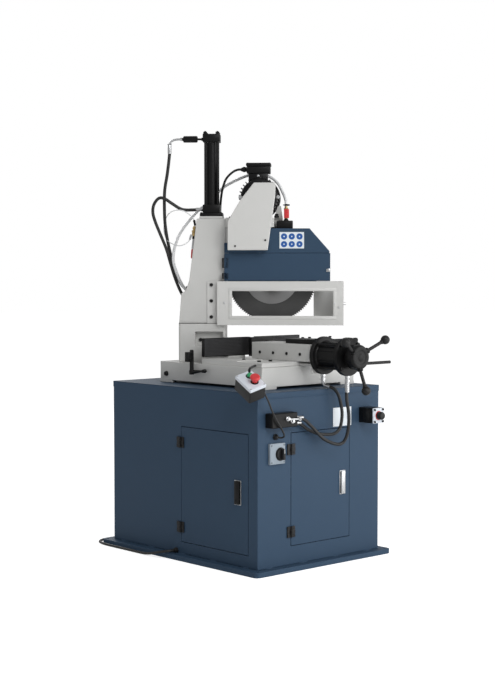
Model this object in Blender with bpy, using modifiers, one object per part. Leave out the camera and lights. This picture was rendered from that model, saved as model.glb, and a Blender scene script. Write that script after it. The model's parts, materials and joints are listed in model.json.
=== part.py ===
"""Hydraulic vertical-column circular cold saw with a 370 mm blade, standing on its sheet-metal cabinet.

Metres, +Z up. The origin is on the floor under the middle of the cabinet, +X is to the right and
+Y to the back as the operator stands in front of the vise. The column, head and blade are turned
45 degrees about the swivel axis, as for a mitre cut.
"""

import math

import bmesh
import bpy
from mathutils import Matrix, Vector

GAP = 0.0004  # between pieces that touch
RUNNING = 0.0005  # between pieces that slide or turn

# cabinet
CABINET_WIDTH, CABINET_DEPTH, CABINET_TOP = 0.660, 0.884, 0.680
PLATE_WIDTH, PLATE_DEPTH, PLATE_TOP = 0.735, 0.959, 0.020
SHEET = 0.003
ANCHOR_X, ANCHOR_Y, ANCHOR_RADIUS = 0.348, 0.460, 0.0065
LEFT, RIGHT = -CABINET_WIDTH / 2, CABINET_WIDTH / 2
FRONT, BACK = -CABINET_DEPTH / 2, CABINET_DEPTH / 2
FRONT_DOOR = (-0.158, 0.163, 0.090, 0.524)  # low x, high x, low z, high z of the opening
SIDE_DOOR = (-0.391, 0.003, 0.067, 0.526)  # low y, high y, low z, high z of the opening
DOOR_GAP, DOOR_SHEET = 0.002, 0.0022
FOLD_IN, FOLD_DEEP = 0.030, 0.014  # the stiffening fold behind a door
HINGE_HEIGHT, HINGE_LEAF, HINGE_OUT = 0.042, 0.022, 0.0062

# bed and vise
BED = ((-0.210, -0.335, 0.690), (0.300, 0.283, 0.766))
FOOT_LOW, FOOT_SIZE = CABINET_TOP + GAP, 0.079
PIVOT = (0.055, 0.005)  # the swivel axis, at the face of the fixed jaws
TABLE_RADIUS, TABLE_LOW, TABLE_TOP = 0.200, 0.7413, 0.7657
PIN_RADIUS, PIN_LOW = 0.030, 0.700
JAW_FACE, JAW_THICK, JAW_LOW, JAW_TOP = 0.010, 0.015, 0.793, 0.8675
JAW_GAP = 0.0098  # half the slot between the fixed jaws
MOVING_FACE, INSERT_THICK = -0.050, 0.018
STOP_BAR, STOP_BAR_END = (0.0178, 0.8335), 0.686
MOVING_LEFT, MOVING_RIGHT = -0.0185, 0.100
VISE_X, VISE_Z, VISE_FLANGE, FLANGE_THICK, TIE_CIRCLE = 0.035, 0.8095, 0.0735, 0.018, 0.064
VISE_FRONT, VISE_REAR = -0.418, -0.562
GUSSET = [(0.128, 0.006), (0.128, 0.0185), (0.104, 0.0195), (0.085, 0.052), (0.070, 0.052),
          (0.036, 0.0208), (0.036, 0.006)]  # from the swivel axis

# column, in its own frame: +X along the blade to the free end, +Y away from the operator's corner
SWIVEL_REST = 45.0
FOOT_TOP = 0.923
COLUMN_X, COLUMN_TOP = -0.108, 1.3488
COLUMN_HALF, FOOT_HALF = 0.055, 0.065
CYLINDER_X = -0.168
ROD_RADIUS, BORE_RADIUS, BARREL_RADIUS = 0.0125, 0.020, 0.0245
TRAVEL = 0.155
BLADE_X, BLADE_Z, BLADE_RADIUS, BLADE_THICK = 0.0777, 1.1125, 0.185, 0.003
GUARD_FRONT, GUARD_BACK = -0.0745, 0.072
GUARD_OUTLINE = [(-0.0931, 1.096), (0.3125, 1.096), (0.3125, 1.2166), (0.2318, 1.308), (-0.0931, 1.308)]
DOOR_SEAM = 1.209
FRAME_LEFT, FRAME_RIGHT, FRAME_LOW, FRAME_TOP = -0.141, 0.370, 0.917, 1.0945
FRAME_HALF, FRAME_SHEET = 0.085, 0.004
MOTOR = (0.0292, 1.4338)
MOTOR_RADIUS, MOTOR_FRONT, MOTOR_BACK = 0.080, -0.0751, 0.075
COVER_FRONT, COVER_BACK = -0.130, -0.0876
COVER_OUTLINE = [(0.010, 1.489), (0.096, 1.489), (0.094, 1.438), (0.064, 1.2195),
                 (-0.096, 1.2195), (-0.096, 1.334), (-0.046, 1.418)]

# control box: middle of its lid, and the tilt of the lid about Y and then X
BOX_LID = (-0.400, -0.481, 0.738)
BOX_WIDTH, BOX_LENGTH, BOX_HEIGHT = 0.072, 0.098, 0.065
START, START_RADIUS = (0.010, 0.020), 0.0115  # places on the lid
STOP, STOP_STEM = (0.006, -0.016), 0.0105
BUTTON_DEPTH, BUTTON_HOLE = 0.005, 0.012

# joint axes that several pieces share
FRONT_AXIS = (FRONT_DOOR[0] - 0.001, FRONT - HINGE_OUT)
SIDE_AXIS = (LEFT - HINGE_OUT, SIDE_DOOR[1] + 0.001)
GUARD_HINGE = (-0.1165, GUARD_FRONT - 0.0010)
TAP = (0.1365, -0.0445, 1.366)
LOCK = (-0.2265, 0.060, 0.780)
FRONT_LATCH = (0.1205, FRONT - 0.0060, 0.350)
SIDE_LATCH = (LEFT - 0.0060, -0.3340, 0.342)
LATCH_UP, LATCH_DOWN, LATCH_NEAR, LATCH_FAR = 0.0035, 0.0860, 0.0022, 0.0102
SWITCH = (-0.2246, 0.4493)
VALVE_X, VALVE_Z, VALVE_SIZE, VALVE_FRONT = 0.245, 0.568, 0.060, -0.522

# handwheel: one arm leans towards the operator at each angle
ARM_ANGLES, ARM_REACH, ARM_LEAN, HUB_RADIUS = (31, 151, 271), 0.125, 0.048, 0.048

# hoses and cables on the column, as points of their middle lines in the column's own frame
FEED_TOP_ROUTE = [
    (-0.290, 0, 1.673), (-0.316, 0, 1.673), (-0.334, 0, 1.664), (-0.341, 0, 1.645), (-0.341, 0, 1.614),
    (-0.350, 0.003, 1.539), (-0.362, 0.008, 1.467), (-0.364, 0.012, 1.394), (-0.361, 0.018, 1.320),
    (-0.348, 0.032, 1.235), (-0.328, 0.054, 1.150), (-0.303, 0.076, 1.085), (-0.270, 0.090, 1.050),
    (-0.235, 0.088, 1.032), (-0.215, 0.076, 1.028), (-0.213, 0.066, 1.027), (-0.213, 0.0560, 1.027),
]
FEED_BOTTOM_ROUTE = [
    (-0.2035, 0, 1.388), (-0.245, 0, 1.386), (-0.290, -0.004, 1.388), (-0.331, -0.012, 1.412),
    (-0.360, -0.016, 1.431), (-0.384, -0.015, 1.433), (-0.404, -0.014, 1.408), (-0.409, -0.012, 1.375),
    (-0.400, -0.010, 1.339), (-0.380, -0.005, 1.288), (-0.356, 0.008, 1.226), (-0.340, 0.026, 1.165),
    (-0.322, 0.052, 1.100), (-0.298, 0.078, 1.040), (-0.265, 0.090, 0.998), (-0.235, 0.088, 0.978),
    (-0.215, 0.076, 0.972), (-0.213, 0.066, 0.971), (-0.213, 0.0560, 0.971),
]
COOLANT_ROUTE = [
    (-0.248, 0.0558, 1.048), (-0.248, 0.066, 1.048), (-0.264, 0.070, 1.0505), (-0.2815, 0.065, 1.0590),
    (-0.2983, 0.045, 1.0867), (-0.3125, 0.020, 1.1231), (-0.3222, 0.006, 1.1562), (-0.3270, 0.000, 1.1832),
    (-0.3244, 0.005, 1.2193), (-0.3167, 0.020, 1.2527), (-0.3049, 0.040, 1.2863), (-0.2854, 0.060, 1.3201),
    (-0.2620, 0.0705, 1.3505), (-0.2374, 0.072, 1.3780), (-0.179, 0.072, 1.429), (-0.129, 0.070, 1.478),
    (-0.088, 0.062, 1.502), (-0.050, 0.055, 1.519), (-0.022, 0.050, 1.528), (0.020, 0.048, 1.531),
    (0.060, 0.046, 1.526), (0.097, 0.032, 1.500), (0.122, 0.004, 1.457), (0.1345, -0.022, 1.425),
    (0.1364, -0.0295, 1.411), (0.1365, -0.030, 1.3992),
]
CABLE_ROUTE = [
    (-0.0490, -0.010, 1.549), (-0.062, -0.009, 1.548), (-0.084, -0.002, 1.538), (-0.111, 0.012, 1.511),
    (-0.127, 0.030, 1.468), (-0.134, 0.044, 1.427), (-0.137, 0.056, 1.392), (-0.138, 0.066, 1.356),
    (-0.138, 0.0715, 1.328), (-0.138, 0.0715, 1.308), (-0.138, 0.067, 1.297), (-0.138, 0.0570, 1.2950),
]

# hoses and cables on the cabinet
VISE_OPEN_ROUTE = [
    (0.035, -0.550, 0.7215), (0.035, -0.550, 0.690), (0.034, -0.549, 0.650), (0.050, -0.545, 0.585),
    (0.061, -0.530, 0.520), (0.052, -0.515, 0.478), (0.020, -0.505, 0.472), (-0.035, -0.492, 0.497),
    (-0.085, -0.480, 0.545), (-0.118, -0.473, 0.573), (-0.150, -0.470, 0.582), (-0.1595, -0.470, 0.582),
]
VISE_CLOSE_ROUTE = [
    (0.035, -0.420, 0.7210), (0.035, -0.420, 0.708), (0.036, -0.428, 0.6935), (0.041, -0.443, 0.6890),
    (0.050, -0.459, 0.6835), (0.060, -0.471, 0.668), (0.069, -0.479, 0.640), (0.076, -0.484, 0.585),
    (0.066, -0.483, 0.530), (0.034, -0.478, 0.508), (-0.030, -0.468, 0.512), (-0.085, -0.461, 0.532),
    (-0.118, -0.458, 0.553), (-0.150, -0.458, 0.562), (-0.1595, -0.458, 0.562),
]
CONTROL_ROUTE = [
    (-0.322, -0.4895, 0.660), (-0.302, -0.4905, 0.620), (-0.280, -0.4905, 0.585), (-0.254, -0.4890, 0.552),
    (-0.234, -0.483, 0.528), (-0.226, -0.474, 0.516), (-0.231, -0.464, 0.512), (-0.238, -0.455, 0.5138),
    (-0.2405, -0.4430, 0.5145),
]

# power cord: out of its gland, down past the base plate, round the back and into a coil on the floor
CORD_RADIUS = 0.005
CORD_ROUTE = [
    (-0.3495, 0.030, 0.0310), (-0.358, 0.0302, 0.0312), (-0.368, 0.0335, 0.0308), (-0.3775, 0.041, 0.0300),
    (-0.385, 0.052, 0.0280), (-0.3892, 0.068, 0.0245), (-0.3905, 0.088, 0.0195), (-0.3908, 0.112, 0.0135),
    (-0.3905, 0.140, 0.0085), (-0.390, 0.170, 0.0060), (-0.3895, 0.210, 0.0053), (-0.389, 0.300, 0.0053),
    (-0.388, 0.400, 0.0053), (-0.383, 0.450, 0.0053), (-0.368, 0.492, 0.0053), (-0.340, 0.514, 0.0053),
    (-0.300, 0.522, 0.0053), (-0.210, 0.521, 0.0053), (-0.123, 0.5195, 0.0053),
]
COIL_CENTRE, COIL_MEAN, COIL_HALF, COIL_TOP = (-0.085, 0.585), 0.055, 0.0155, 0.0305
PLUG_START, PLUG_Y, PLUG_Z = -0.0375, 0.510, 0.0248

WORLD = Matrix.Identity(4)
COLUMN = Matrix.Translation((*PIVOT, 0)) @ Matrix.Rotation(-math.radians(SWIVEL_REST), 4, "Z")

colours = {
    "cabinet_blue": ((0.035, 0.060, 0.100, 1), 0.45, 0.2),
    "casting_grey": ((0.58, 0.58, 0.56, 1), 0.45, 0.0),
    "black_steel": ((0.012, 0.012, 0.013, 1), 0.40, 0.5),
    "bright_steel": ((0.60, 0.60, 0.61, 1), 0.30, 1.0),
    "black_plastic": ((0.014, 0.014, 0.015, 1), 0.50, 0.0),
    "grey_plastic": ((0.66, 0.68, 0.70, 1), 0.45, 0.0),
    "red_plastic": ((0.55, 0.03, 0.03, 1), 0.35, 0.0),
    "green_plastic": ((0.02, 0.30, 0.10, 1), 0.35, 0.0),
    "black_rubber": ((0.010, 0.010, 0.010, 1), 0.60, 0.0),
    "clear_hose": ((0.62, 0.64, 0.64, 1), 0.30, 0.0),
}
empties = {}


def clear_scene():
    for item in list(bpy.data.objects):
        bpy.data.objects.remove(item)


def make_collection(name):
    collection = bpy.data.collections.new(name)
    bpy.context.scene.collection.children.link(collection)
    return collection


def make_material(name):
    colour, roughness, metallic = colours[name]
    material = bpy.data.materials.get(name)
    if material is None:
        material = bpy.data.materials.new(name)
        material.use_nodes = True
        shader = material.node_tree.nodes["Principled BSDF"]
        shader.inputs["Base Color"].default_value = colour
        shader.inputs["Roughness"].default_value = roughness
        shader.inputs["Metallic"].default_value = metallic
    return material


def add_body(name, place, parent=None):
    """An empty on the body's joint axis. Its pieces are parented to it where they stand."""
    empty = bpy.data.objects.new("axis_" + name, None)
    empty.empty_display_size = 0.05
    parts.objects.link(empty)
    if parent:
        empty.parent = empties[parent][0]
        empty.matrix_parent_inverse = empties[parent][1].inverted()
    empty.matrix_basis = place
    empties[name] = (empty, place)


def link(obj, material, body, frame=WORLD):
    """Puts a finished piece in the parts collection, on its body and with its material."""
    parts.objects.link(obj)
    obj.matrix_basis = frame
    if body != "base":
        empty, place = empties[body]
        obj.parent = empty
        obj.matrix_parent_inverse = place.inverted()
    obj.data.materials.clear()
    obj.data.materials.append(make_material(material))
    return obj


def as_cutter(obj, frame=WORLD):
    cutters.objects.link(obj)
    obj.matrix_basis = frame
    obj.hide_render = True
    obj.display_type = "WIRE"
    return obj


def mesh_object(name, bm, smooth=False):
    bmesh.ops.recalc_face_normals(bm, faces=bm.faces)
    mesh = bpy.data.meshes.new(name)
    bm.to_mesh(mesh)
    bm.free()
    if smooth:
        mesh.shade_smooth()
        mesh.set_sharp_from_angle(angle=math.radians(40))
    return bpy.data.objects.new(name, mesh)


def box(name, low, high, bevel=0.0, upright=False):
    """A block between two corners. A bevel rounds all its edges, or only the upright ones."""
    low, high = Vector(low), Vector(high)
    bm = bmesh.new()
    bmesh.ops.create_cube(bm, size=1.0)
    bmesh.ops.scale(bm, vec=high - low, verts=bm.verts)
    bmesh.ops.translate(bm, vec=(low + high) / 2, verts=bm.verts)
    if bevel:
        edges = [e for e in bm.edges if not upright or abs((e.verts[0].co - e.verts[1].co).z) > GAP]
        bmesh.ops.bevel(bm, geom=edges, offset=bevel, segments=2 if upright else 1,
                        affect="EDGES", profile=0.5)
    return mesh_object(name, bm)


def rod(name, start, end, radius, sides=20, end_radius=None):
    """A cylinder or cone from start to end."""
    start, end = Vector(start), Vector(end)
    bm = bmesh.new()
    bmesh.ops.create_cone(bm, cap_ends=True, segments=sides, radius1=radius,
                          radius2=radius if end_radius is None else end_radius,
                          depth=(end - start).length)
    turn = (end - start).to_track_quat("Z", "Y").to_matrix().to_4x4()
    bmesh.ops.transform(bm, matrix=Matrix.Translation((start + end) / 2) @ turn, verts=bm.verts)
    return mesh_object(name, bm, smooth=True)


def ball(name, centre, radius):
    bm = bmesh.new()
    bmesh.ops.create_uvsphere(bm, u_segments=12, v_segments=8, radius=radius)
    bmesh.ops.translate(bm, vec=centre, verts=bm.verts)
    return mesh_object(name, bm, smooth=True)


def to_mesh(curve_object):
    """The curve's solid as a mesh with its caps welded, because a curve takes no Boolean."""
    holder = bpy.context.scene.collection
    holder.objects.link(curve_object)
    graph = bpy.context.evaluated_depsgraph_get()
    mesh = bpy.data.meshes.new_from_object(curve_object.evaluated_get(graph))
    name, matrix = curve_object.name, curve_object.matrix_basis.copy()
    bpy.data.objects.remove(curve_object)
    bm = bmesh.new()
    bm.from_mesh(mesh)
    bmesh.ops.remove_doubles(bm, verts=bm.verts, dist=1e-5)
    bmesh.ops.transform(bm, matrix=matrix, verts=bm.verts)
    bpy.data.meshes.remove(mesh)
    return mesh_object(name, bm)


def plate(name, outline, low, high, upright=False):
    """A flat outline given thickness: (x, z) points from y=low to high, or (x, y) points in z if upright."""
    curve = bpy.data.curves.new(name, "CURVE")
    curve.dimensions = "2D"
    curve.fill_mode = "BOTH"
    curve.extrude = (high - low) / 2
    spline = curve.splines.new("POLY")
    spline.points.add(len(outline) - 1)
    for point, (x, y) in zip(spline.points, outline):
        point.co = (x, y, 0, 1)
    spline.use_cyclic_u = True
    obj = bpy.data.objects.new(name, curve)
    middle = (low + high) / 2
    if upright:
        obj.matrix_basis = Matrix.Translation((0, 0, middle))
    else:
        obj.matrix_basis = Matrix.Translation((0, middle, 0)) @ Matrix.Rotation(math.pi / 2, 4, "X")
    return to_mesh(obj)


def smooth_route(points, step):
    """Points about one step apart on a smooth curve through the route's own points."""
    points = [Vector(p) for p in points]
    ends = [2 * points[0] - points[1]] + points + [2 * points[-1] - points[-2]]
    route = []
    for i in range(len(points) - 1):
        a, b, c, d = ends[i:i + 4]
        count = max(1, round((c - b).length / step))
        for k in range(count):
            t = k / count
            route.append(0.5 * (2 * b + (c - a) * t + (2 * a - 5 * b + 4 * c - d) * t * t
                                + (3 * b - a - 3 * c + d) * t ** 3))
    route.append(points[-1])
    return route


def tube(name, points, radius, step, resolution=2):
    """A round tube along a smooth curve through the points."""
    curve = bpy.data.curves.new(name, "CURVE")
    curve.dimensions = "3D"
    curve.bevel_depth = radius
    curve.bevel_resolution = resolution
    curve.use_fill_caps = True
    route = smooth_route(points, step)
    spline = curve.splines.new("POLY")
    spline.points.add(len(route) - 1)
    for point, place in zip(spline.points, route):
        point.co = (*place, 1)
    spline.use_smooth = True
    return bpy.data.objects.new(name, curve)


def boolean(target, operation, others, frame):
    for other in others:
        as_cutter(other, frame)
        change = target.modifiers.new(other.name, "BOOLEAN")
        change.operation = operation
        change.solver = "EXACT"
        change.object = other
    return target


def cut(target, *others, frame=WORLD):
    return boolean(target, "DIFFERENCE", others, frame)


def join(target, *others, frame=WORLD):
    return boolean(target, "UNION", others, frame)


def make_bodies():
    add_body("column", COLUMN)
    add_body("head", COLUMN, "column")
    add_body("blade", COLUMN @ Matrix.Translation((BLADE_X, 0, BLADE_Z)), "head")
    add_body("guard_door", COLUMN @ Matrix.Translation((*GUARD_HINGE, 0)), "head")
    add_body("coolant_lever", COLUMN @ Matrix.Translation(TAP), "head")
    add_body("swivel_lock", Matrix.Translation(LOCK))
    add_body("movable_jaw", Matrix.Translation((VISE_X, MOVING_FACE, VISE_Z)))
    add_body("handwheel", Matrix.Translation((VISE_X, VISE_REAR, VISE_Z)))
    add_body("front_door", Matrix.Translation((FRONT_AXIS[0], FRONT_AXIS[1], 0)))
    add_body("side_door", Matrix.Translation((SIDE_AXIS[0], SIDE_AXIS[1], 0)))
    add_body("front_latch", Matrix.Translation(FRONT_LATCH), "front_door")
    add_body("side_latch", Matrix.Translation(SIDE_LATCH), "side_door")
    add_body("start_button", BOX_FRAME)
    add_body("stop_button", BOX_FRAME)
    add_body("main_switch", Matrix.Translation((SWITCH[0], FRONT, SWITCH[1])))
    add_body("flow_knob", Matrix.Translation((VALVE_X, VALVE_FRONT, VALVE_Z)))


def tilted_box_frame():
    """The control box's own axes: the lid leans to the front by 30 degrees and to the left by 17."""
    across = Vector((0.9425, -0.1707, 0.2873)).normalized()
    along = Vector((0.0020, 0.8626, 0.5059))
    normal = across.cross(along).normalized()
    along = normal.cross(across)
    turn = Matrix((across, along, normal)).transposed().to_4x4()
    return Matrix.Translation(BOX_LID) @ turn


BOX_FRAME = tilted_box_frame()


def make_cabinet():
    base = box("base_plate", (-PLATE_WIDTH / 2, -PLATE_DEPTH / 2, 0),
               (PLATE_WIDTH / 2, PLATE_DEPTH / 2, PLATE_TOP), bevel=0.018, upright=True)
    for i, (x, y) in enumerate([(1, 1), (1, -1), (-1, 1), (-1, -1)]):
        cut(base, rod(f"cut_anchor_{i}", (x * ANCHOR_X, y * ANCHOR_Y, -0.01),
                      (x * ANCHOR_X, y * ANCHOR_Y, PLATE_TOP + 0.01), ANCHOR_RADIUS, 12))
    link(base, "cabinet_blue", "base")

    shell = box("cabinet_shell", (LEFT, FRONT, PLATE_TOP + GAP), (RIGHT, BACK, CABINET_TOP))
    x0, x1, z0, z1 = FRONT_DOOR
    y0, y1, s0, s1 = SIDE_DOOR
    cut(shell,
        box("cut_inside", (LEFT + SHEET, FRONT + SHEET, 0), (RIGHT - SHEET, BACK - SHEET, CABINET_TOP - SHEET)),
        box("cut_front_door", (x0, FRONT - 0.01, z0), (x1, FRONT + 0.01, z1)),
        box("cut_side_door", (LEFT - 0.01, y0, s0), (LEFT + 0.01, y1, s1)))
    link(shell, "cabinet_blue", "base")


def make_hinge(name, axis, out, along, z):
    """A leaf on the cabinet and the barrel on the hinge axis. out and along are unit directions in plan."""
    axis = Vector((*axis, 0))
    out, along = Vector((*out, 0)), Vector((*along, 0))
    face = axis - out * HINGE_OUT
    corners = [face + out * GAP - along * 0.002, face + out * 0.0048 - along * HINGE_LEAF]
    low = Vector([min(c[i] for c in corners) for i in range(3)]) + Vector((0, 0, z - HINGE_HEIGHT / 2))
    high = Vector([max(c[i] for c in corners) for i in range(3)]) + Vector((0, 0, z + HINGE_HEIGHT / 2))
    barrel = rod(name + "_barrel", axis + Vector((0, 0, z - HINGE_HEIGHT / 2)),
                 axis + Vector((0, 0, z + HINGE_HEIGHT / 2)), 0.0052, 12)
    link(join(box(name, low, high), barrel), "black_plastic", "base")


def make_doors():
    x0, x1, z0, z1 = FRONT_DOOR
    front = box("front_door", (x0 + DOOR_GAP, FRONT, z0 + DOOR_GAP),
                (x1 - DOOR_GAP, FRONT + DOOR_SHEET, z1 - DOOR_GAP))
    fold = box("front_door_fold", (x0 + FOLD_IN, FRONT + 0.001, z0 + FOLD_IN),
               (x1 - FOLD_IN, FRONT + FOLD_DEEP, z1 - FOLD_IN))
    inset = FOLD_IN + 0.002
    inside = box("cut_front_fold", (x0 + inset, FRONT + DOOR_SHEET, z0 + inset),
                 (x1 - inset, FRONT + 0.02, z1 - inset))
    link(cut(join(front, fold), inside), "cabinet_blue", "front_door")

    y0, y1, s0, s1 = SIDE_DOOR
    side = box("side_door", (LEFT, y0 + DOOR_GAP, s0 + DOOR_GAP),
               (LEFT + DOOR_SHEET, y1 - DOOR_GAP, s1 - DOOR_GAP))
    fold = box("side_door_fold", (LEFT + 0.001, y0 + FOLD_IN, s0 + FOLD_IN),
               (LEFT + FOLD_DEEP, y1 - FOLD_IN, s1 - FOLD_IN))
    inside = box("cut_side_fold", (LEFT + DOOR_SHEET, y0 + inset, s0 + inset),
                 (LEFT + 0.02, y1 - inset, s1 - inset))
    link(cut(join(side, fold), inside), "cabinet_blue", "side_door")

    make_hinge("front_hinge_upper", FRONT_AXIS, (0, -1), (1, 0), 0.461)
    make_hinge("front_hinge_lower", FRONT_AXIS, (0, -1), (1, 0), 0.146)
    make_hinge("side_hinge_upper", SIDE_AXIS, (-1, 0), (0, -1), 0.463)
    make_hinge("side_hinge_lower", SIDE_AXIS, (-1, 0), (0, -1), 0.127)

    x, y, z = FRONT_LATCH
    handle = box("front_latch_handle", (x - 0.0105, FRONT - LATCH_FAR, z - LATCH_DOWN),
                 (x + 0.0105, FRONT - LATCH_NEAR, z + LATCH_UP), bevel=0.002)
    link(handle, "bright_steel", "front_latch")
    x, y, z = SIDE_LATCH
    handle = box("side_latch_handle", (LEFT - LATCH_FAR, y - 0.0135, z - LATCH_DOWN),
                 (LEFT - LATCH_NEAR, y + 0.0135, z + LATCH_UP), bevel=0.002)
    link(handle, "black_steel", "side_latch")


def open_tank(name, low, high):
    """A sheet-metal tank: closed on top and open underneath, where the base plate closes it."""
    low, high = Vector(low), Vector(high)
    wall = Vector((SHEET, SHEET, 0))
    return cut(box(name, low, high), box("cut_" + name, low + wall - Vector((0, 0, 0.01)), high - wall
                                         - Vector((0, 0, SHEET))))


def make_inside():
    floor = PLATE_TOP + GAP
    tank = open_tank("hydraulic_tank", (-0.060, -0.180, floor), (0.240, 0.080, 0.270))
    link(tank, "black_steel", "base")
    motor = rod("hydraulic_motor", (0.090, -0.050, 0.270 + GAP), (0.090, -0.050, 0.500), 0.068, 20)
    link(motor, "black_steel", "base")
    coolant = open_tank("coolant_tank", (-0.290, 0.060, floor), (-0.090, 0.400, 0.240))
    join(coolant, rod("coolant_pump_body", (-0.190, 0.230, 0.236), (-0.190, 0.230, 0.400), 0.045, 16))
    link(coolant, "grey_plastic", "base")
    panel = box("electrical_panel", (RIGHT - SHEET - 0.006, -0.260, 0.240), (RIGHT - SHEET - GAP, 0.140, 0.600))
    for i, (y, z, height) in enumerate([(-0.200, 0.500, 0.07), (-0.060, 0.500, 0.07), (0.070, 0.500, 0.08),
                                        (-0.130, 0.340, 0.09), (0.050, 0.340, 0.09)]):
        join(panel, box(f"contactor_{i}", (RIGHT - SHEET - 0.070, y - 0.035, z - height / 2),
                        (RIGHT - SHEET - 0.005, y + 0.035, z + height / 2)))
    link(panel, "grey_plastic", "base")


def make_bed():
    low, high = Vector(BED[0]), Vector(BED[1])
    bed = box("bed_casting", low, high, bevel=0.006, upright=True)
    for i, (x, y) in enumerate([(low.x, low.y), (high.x, low.y), (low.x, high.y), (high.x, high.y)]):
        inwards = Vector((FOOT_SIZE if x < 0 else -FOOT_SIZE, FOOT_SIZE if y < 0 else -FOOT_SIZE, 0))
        near, far = Vector((x, y, FOOT_LOW)), Vector((x, y, low.z + 0.004)) + inwards
        join(bed, box(f"bed_foot_{i}", [min(pair) for pair in zip(near, far)],
                      [max(pair) for pair in zip(near, far)]))
    px, py = PIVOT
    cut(bed, rod("cut_table", (px, py, TABLE_LOW - GAP), (px, py, high.z + 0.01), TABLE_RADIUS + RUNNING, 48),
        rod("cut_pin", (px, py, 0.60), (px, py, TABLE_LOW), PIN_RADIUS + RUNNING, 24))
    rib, wall = 0.048, 0.014
    for i, (x0, x1) in enumerate([(low.x + wall, px - rib), (px + rib, high.x - wall)]):
        for k, (y0, y1) in enumerate([(low.y + wall, py - rib), (py + rib, high.y - wall)]):
            cut(bed, box(f"cut_pocket_{i}{k}", (x0, y0, 0.60), (x1, y1, TABLE_LOW - 0.0133)))
    link(bed, "casting_grey", "base")

    table = rod("turntable", (px, py, TABLE_LOW), (px, py, TABLE_TOP), TABLE_RADIUS, 48)
    pin = rod("king_pin", (px, py, PIN_LOW), (px, py, TABLE_LOW + 0.005), PIN_RADIUS, 24)
    foot = box("column_foot", (-0.2997, -FOOT_HALF, TABLE_TOP + 0.0008), (COLUMN_X, FOOT_HALF, FOOT_TOP),
               bevel=0.010, upright=True)
    tie = box("foot_tie", (-0.190, -0.060, TABLE_TOP - 0.004), (COLUMN_X - 0.01, 0.060, TABLE_TOP + 0.004))
    recess = box("cut_recess", (-0.232, -0.10, 0.832), (-0.119, -FOOT_HALF + 0.030, 0.890))
    link(cut(join(join(table, pin), foot, tie, frame=COLUMN), recess, frame=COLUMN), "casting_grey", "column")


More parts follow.
